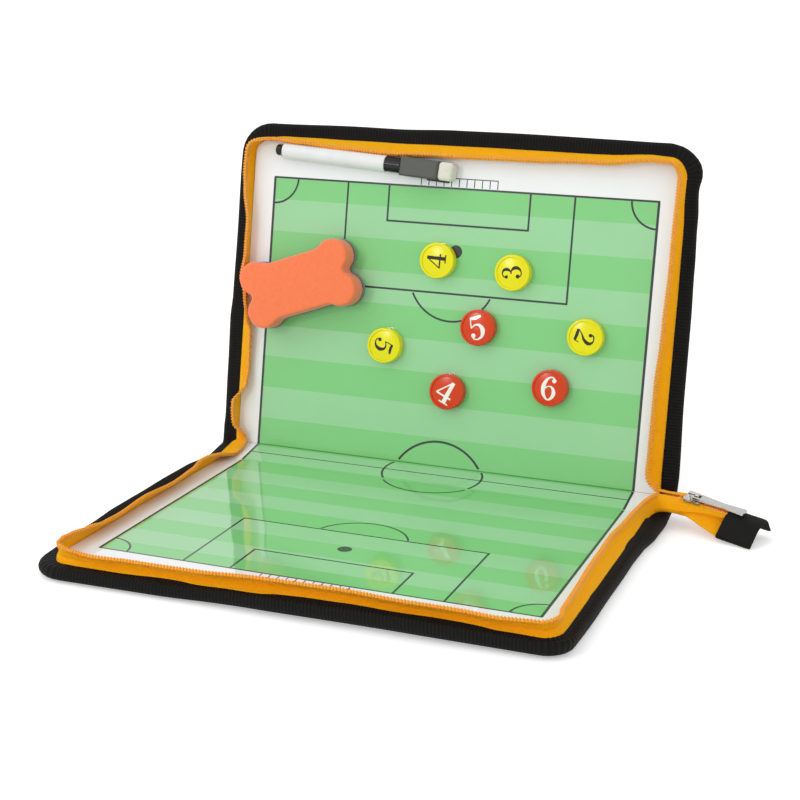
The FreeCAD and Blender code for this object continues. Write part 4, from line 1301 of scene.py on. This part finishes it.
# Front tape where it turns out over the rim and is folded under, then opens towards the tab
FRONT_TURN = (
    ((146.3, 106.5, 8.7), (146.2, 107.0, 9.7), (146.2, 107.6, 11.0), (146.3, 108.4, 13.0),
     (146.1, 110.2, 15.8), (145.9, 111.9, 17.7), (145.7, 112.6, 18.6)),
    ((149.5, 112.5, 9.8), (149.3, 111.4, 10.6), (149.2, 110.9, 11.6), (149.0, 111.2, 13.0),
     (148.4, 114.9, 16.4), (147.9, 119.0, 18.1), (147.8, 120.6, 18.4)),
    ((154.5, 115.0, 10.0), (154.3, 113.0, 10.7), (154.2, 111.7, 11.6), (154.2, 111.7, 12.7),
     (154.0, 115.2, 16.2), (153.5, 119.7, 17.7), (153.3, 120.7, 17.9)),
    ((161.5, 115.0, 9.4), (161.3, 112.8, 10.5), (161.2, 111.7, 11.4), (161.5, 111.6, 12.4),
     (161.1, 115.2, 15.6), (161.1, 119.4, 17.0), (161.3, 120.4, 17.2)),
    ((169.0, 109.3, 9.5), (169.8, 110.9, 11.4), (169.9, 111.3, 12.1), (169.5, 110.5, 12.9),
     (169.0, 113.9, 15.1), (168.8, 117.3, 16.1), (169.0, 118.3, 16.3)),
    ((177.4, 105.4, 6.6), (180.0, 110.3, 9.3), (180.3, 111.4, 11.3), (180.4, 110.4, 13.4),
     (179.2, 112.8, 14.8), (178.4, 114.7, 15.0), (178.7, 115.7, 15.2)),
    ((187.6, 100.6, 3.3), (188.8, 109.0, 6.2), (190.7, 112.0, 9.5), (191.3, 109.2, 12.6),
     (191.7, 110.1, 13.1), (192.0, 111.0, 13.4), (192.3, 112.0, 13.6)),
)
REAR_TURN = (
    ((146.3, 133.4, 17.5), (146.4, 132.7, 17.6), (146.3, 131.3, 17.9), (146.0, 129.6, 18.6),
     (145.2, 127.5, 19.3), (144.6, 125.8, 20.2), (144.5, 125.0, 20.3)),
    ((149.3, 132.4, 15.5), (149.2, 131.4, 16.2), (149.0, 130.2, 17.2), (148.7, 128.6, 18.6),
     (148.5, 127.0, 19.0), (148.3, 125.6, 19.1), (147.8, 124.5, 19.0)),
    ((154.8, 133.3, 13.2), (154.7, 132.2, 14.2), (154.5, 130.6, 15.6), (154.2, 128.8, 18.0),
     (154.0, 127.2, 18.4), (153.9, 125.7, 18.5), (153.8, 124.7, 18.5)),
)
# Rear tape along the tail, and the tab, as (across, up) points
REAR_SECTION = ((12.5, -9.4), (10.6, -6.4), (8.2, -2.6), (6.0, -0.1), (4.5, 0.1), (3.0, 0.0), (1.95, 0.0))
TAB_SECTION = ((-15.8, -8.4), (-11.0, -4.4), (-6.0, -0.6), (0.0, 0.5), (6.0, -0.6), (9.2, -4.8), (12.6, -9.6))


def tab_skin():
    """Folded end tab: a soft tent of doubled cloth with rounded ends."""
    rings = []
    ends = ((-0.6, 0.7), (0.2, 1.1), (6, 1.2), (12, 1.1), (18, 1.2), (TAB_RUN - 0.8, 1.0), (TAB_RUN, 0.4))
    for run, half in ends:
        points = tail_points(TAIL_RUN + run, smooth_points(TAB_SECTION, 3))
        up = PLACES["spine"].to_3x3() @ TAIL_UP / MM * half
        edge = (points[-1] - points[0]).normalized() * half * 0.5
        upper, lower = [point + up for point in points], [point - up for point in reversed(points)]
        rings.append([*upper, points[-1] + edge, *lower, points[0] - edge])
    return loft(begin(), rings)


class TACTICS_OT_tail(bpy.types.Operator):
    """Zip tail: both tapes, which come off the walls, the coils, the end tab, the slider and its pull"""

    bl_idname = "tactics.tail"
    bl_label = "Zip Tail"

    def execute(self, context):
        look = context.scene.tactics_case
        ribbon = zip_ribbon("woven_orange_tail_tape", look.tape)
        wire = nylon_coil("orange_tail_coil", look.coil)
        front = [
            *(half_points("lower_half", -1, reach) for reach in (RIGHT_END, 24, 10)),
            *([Vector(point) for point in station] for station in FRONT_TURN),
        ]
        rear = [
            *(half_points("upper_half", 1, reach) for reach in (RIGHT_END, 24, 11)),
            *([Vector(point) for point in station] for station in REAR_TURN),
            *(tail_points(run, REAR_SECTION) for run in (2, 10, 20, TAIL_RUN + 0.5)),
        ]
        # Ways along which a tape passes from one body to the next, with the distances in metres below
        outwards, upwards = Vector((0.9, 0.436, 0)), Vector((-0.5, 0, 0.866))
        for name, stations, bodies, start, end in (
            ("front", front, ("lower_half", "spine"), 0.174 * outwards, 0.184 * outwards),
            ("rear", rear, ("spine", "upper_half"), -0.057 * upwards, -0.045 * upwards),
        ):
            rows = eased(stations)
            bm = laid(tape_skin(rows), Matrix.Scale(MM, 4))
            tape = finished(bm, "tail_" + name + "_ribbon", ribbon)
            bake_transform(tape)
            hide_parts("tail_" + name + "_tape")
            bm = coil_skin(rows[: 4 * PARTS + 1], look.tooth_pitch / MM)
            coil = finished(laid(bm, Matrix.Scale(MM, 4)), "right_" + name + "_zip_coil", wire)
            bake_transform(coil)
        dress(wire, "tail_zip_coil")
        webbing = woven_polyester("coated_black_webbing", linear("#161615"))
        tab = finished(laid(tab_skin(), Matrix.Scale(MM, 4)), "tail_folded_tab", webbing, "spine", 50)
        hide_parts("tail_end_tab")
        dress(plated_zinc("nickel_plated_zinc", linear("#C9C8C4"), 0.24), "zip_slider", "zip_pull")
        return {"FINISHED"}


class TACTICS_OT_core(bpy.types.Operator):
    """Boards, steel sheets and fillings that show only at the edges"""

    bl_idname = "tactics.core"
    bl_label = "Boards and Steel"

    def execute(self, context):
        dress(pressed_fibre("pressed_fibreboard", linear("#6B4F38"), 1.2), "lower_board", "upper_board")
        steel = plated_zinc("galvanised_steel_sheet", linear("#A9ABAD"), 0.4)
        dress(steel, "lower_steel_sheet", "upper_steel_sheet")
        dress(pressed_fibre("filler_foam", linear("#D9D6CF"), 1.5), "spine_filler")
        return {"FINISHED"}


# Stage: places in metres of the row, and the camera's turn, rise and roll in degrees
FLOOR_PATCH = 0.4
LIGHT_AIM = Vector((0, 0.1, 0.08))
KEY_AT, KEY_SIZE = Vector((-1.1, -1.0, 1.5)), 1.2
FRONT_AT, FRONT_SIZE = Vector((-0.54, -1.33, 0.66)), 0.16
CAMERA_TURNS = (20.69, 15.24, 0.8195)
CAMERA_AIM = Vector((-0.01743, 0.1075, 0.06319))
CAMERA_DISTANCE = 1.0228


def background_rays(tree):
    """One for the rays that show the background: from the camera, off a gloss or through clear material."""
    path = add_node(tree, "ShaderNodeLightPath")
    seen = path.outputs["Is Camera Ray"]
    for kind in ("Is Glossy Ray", "Is Transmission Ray"):
        either = {0: seen, 1: path.outputs[kind]}
        seen = add_node(tree, "ShaderNodeMath", either, operation="MAXIMUM").outputs[0]
    return seen


class TACTICS_OT_stage(bpy.types.Operator):
    """Pale floor, soft studio light and the camera"""

    bl_idname = "tactics.stage"
    bl_label = "Stage"

    def execute(self, context):
        scene = context.scene
        look = scene.tactics_stage
        scene.view_settings.view_transform = "Standard"
        material, tree, shader = surface("pale_studio_floor", 0.9, Specular_IOR_Level=0.1)
        place = add_node(tree, "ShaderNodeTexCoord").outputs["Object"]
        wide = {"Vector": place, "Scale": 1 / FLOOR_PATCH, "Detail": 2.0}
        patches = add_node(tree, NOISE, wide).outputs["Fac"]
        tone_and_relief(tree, shader, look.floor, patches, (1.0, 1.02))
        seen = background_rays(tree)
        white = add_node(
            tree, "ShaderNodeMath", {0: seen, 1: look.floor_white}, operation="MULTIPLY"
        ).outputs[0]
        glow = add_node(tree, "ShaderNodeEmission", {"Strength": white})
        both = add_node(tree, "ShaderNodeAddShader", {0: shader.outputs[0], 1: glow.outputs[0]})
        tree.links.new(both.outputs[0], tree.nodes["Material Output"].inputs["Surface"])
        bm = begin()
        bmesh.ops.create_grid(bm, x_segments=2, y_segments=2, size=20)
        floor = finished(bm, "floor", material)
        floor.location.z = -0.0005
        world = bpy.data.worlds.new("soft_white_studio")
        world.use_nodes = True
        tree = world.node_tree
        seen = background_rays(tree)
        strength = add_node(
            tree, "ShaderNodeMix", {0: seen, 2: look.sky, 3: 1.0}, data_type="FLOAT"
        )
        tree.links.new(strength.outputs[0], tree.nodes["Background"].inputs["Strength"])
        tree.nodes["Background"].inputs["Color"].default_value = (1, 1, 1, 1)
        scene.world = world
        for name, stand, size, power in (
            ("key_softbox", KEY_AT, KEY_SIZE, look.key_power),
            ("front_softbox", FRONT_AT, FRONT_SIZE, look.front_power),
        ):
            lamp = bpy.data.lights.new(name, "AREA")
            lamp.energy = power
            lamp.size = size
            light = bpy.data.objects.new(name, lamp)
            light.location = stand
            light.rotation_euler = (stand - LIGHT_AIM).to_track_quat("Z", "Y").to_euler()
            scene.collection.objects.link(light)
        turn, rise, roll = (math.radians(angle) for angle in CAMERA_TURNS)
        back = Vector((math.sin(turn) * math.cos(rise), -math.cos(turn) * math.cos(rise), math.sin(rise)))
        right = Vector((0, 0, 1)).cross(back).normalized()
        up = back.cross(right)
        rows = (
            right * math.cos(roll) + up * math.sin(roll),
            up * math.cos(roll) - right * math.sin(roll),
            back,
        )
        camera = bpy.data.objects.new("camera", bpy.data.cameras.new("camera"))
        camera.data.lens = look.lens
        camera.data.sensor_width = 36
        centre = CAMERA_AIM + back * CAMERA_DISTANCE
        camera.matrix_world = Matrix.Translation(centre) @ Matrix(rows).transposed().to_4x4()
        scene.collection.objects.link(camera)
        scene.camera = camera
        return {"FINISHED"}


class TACTICS_PT_panel(bpy.types.Panel):
    """Lists the pieces of the tactics board"""

    bl_idname = "TACTICS_PT_panel"
    bl_label = "Tactics Board"
    bl_space_type = "VIEW_3D"
    bl_region_type = "UI"
    bl_category = "Tactics Board"

    def draw(self, context):
        for operator in OPERATORS:
            self.layout.operator(operator.bl_idname)
        for name in SETTINGS:
            group = getattr(context.scene, name)
            for setting in group.bl_rna.properties:
                if setting.identifier not in ("rna_type", "name"):
                    self.layout.prop(group, setting.identifier)


OPERATORS = (
    TACTICS_OT_stage,
    TACTICS_OT_core,
    TACTICS_OT_case,
    TACTICS_OT_zip,
    TACTICS_OT_tail,
    TACTICS_OT_pitch,
    TACTICS_OT_counters,
    TACTICS_OT_pen,
    TACTICS_OT_eraser,
)
SETTINGS = {
    "tactics_case": BoardCase,
    "tactics_print": BoardPrint,
    "tactics_gear": BoardGear,
    "tactics_stage": BoardStage,
}


def register():
    for group in SETTINGS.values():
        bpy.utils.register_class(group)
    for name, group in SETTINGS.items():
        setattr(bpy.types.Scene, name, PointerProperty(type=group))
    for each in (*OPERATORS, TACTICS_PT_panel):
        bpy.utils.register_class(each)


def unregister():
    for each in (TACTICS_PT_panel, *reversed(OPERATORS)):
        bpy.utils.unregister_class(each)
    for name, group in SETTINGS.items():
        delattr(bpy.types.Scene, name)
        bpy.utils.unregister_class(group)


def main():
    register()
    bpy.ops.tactics.stage()
    bpy.ops.tactics.core()
    bpy.ops.tactics.case()
    bpy.ops.tactics.zip()
    bpy.ops.tactics.tail()
    bpy.ops.tactics.pitch()
    bpy.ops.tactics.counters()
    bpy.ops.tactics.pen()
    bpy.ops.tactics.eraser()


if __name__ == "__main__":
    main()
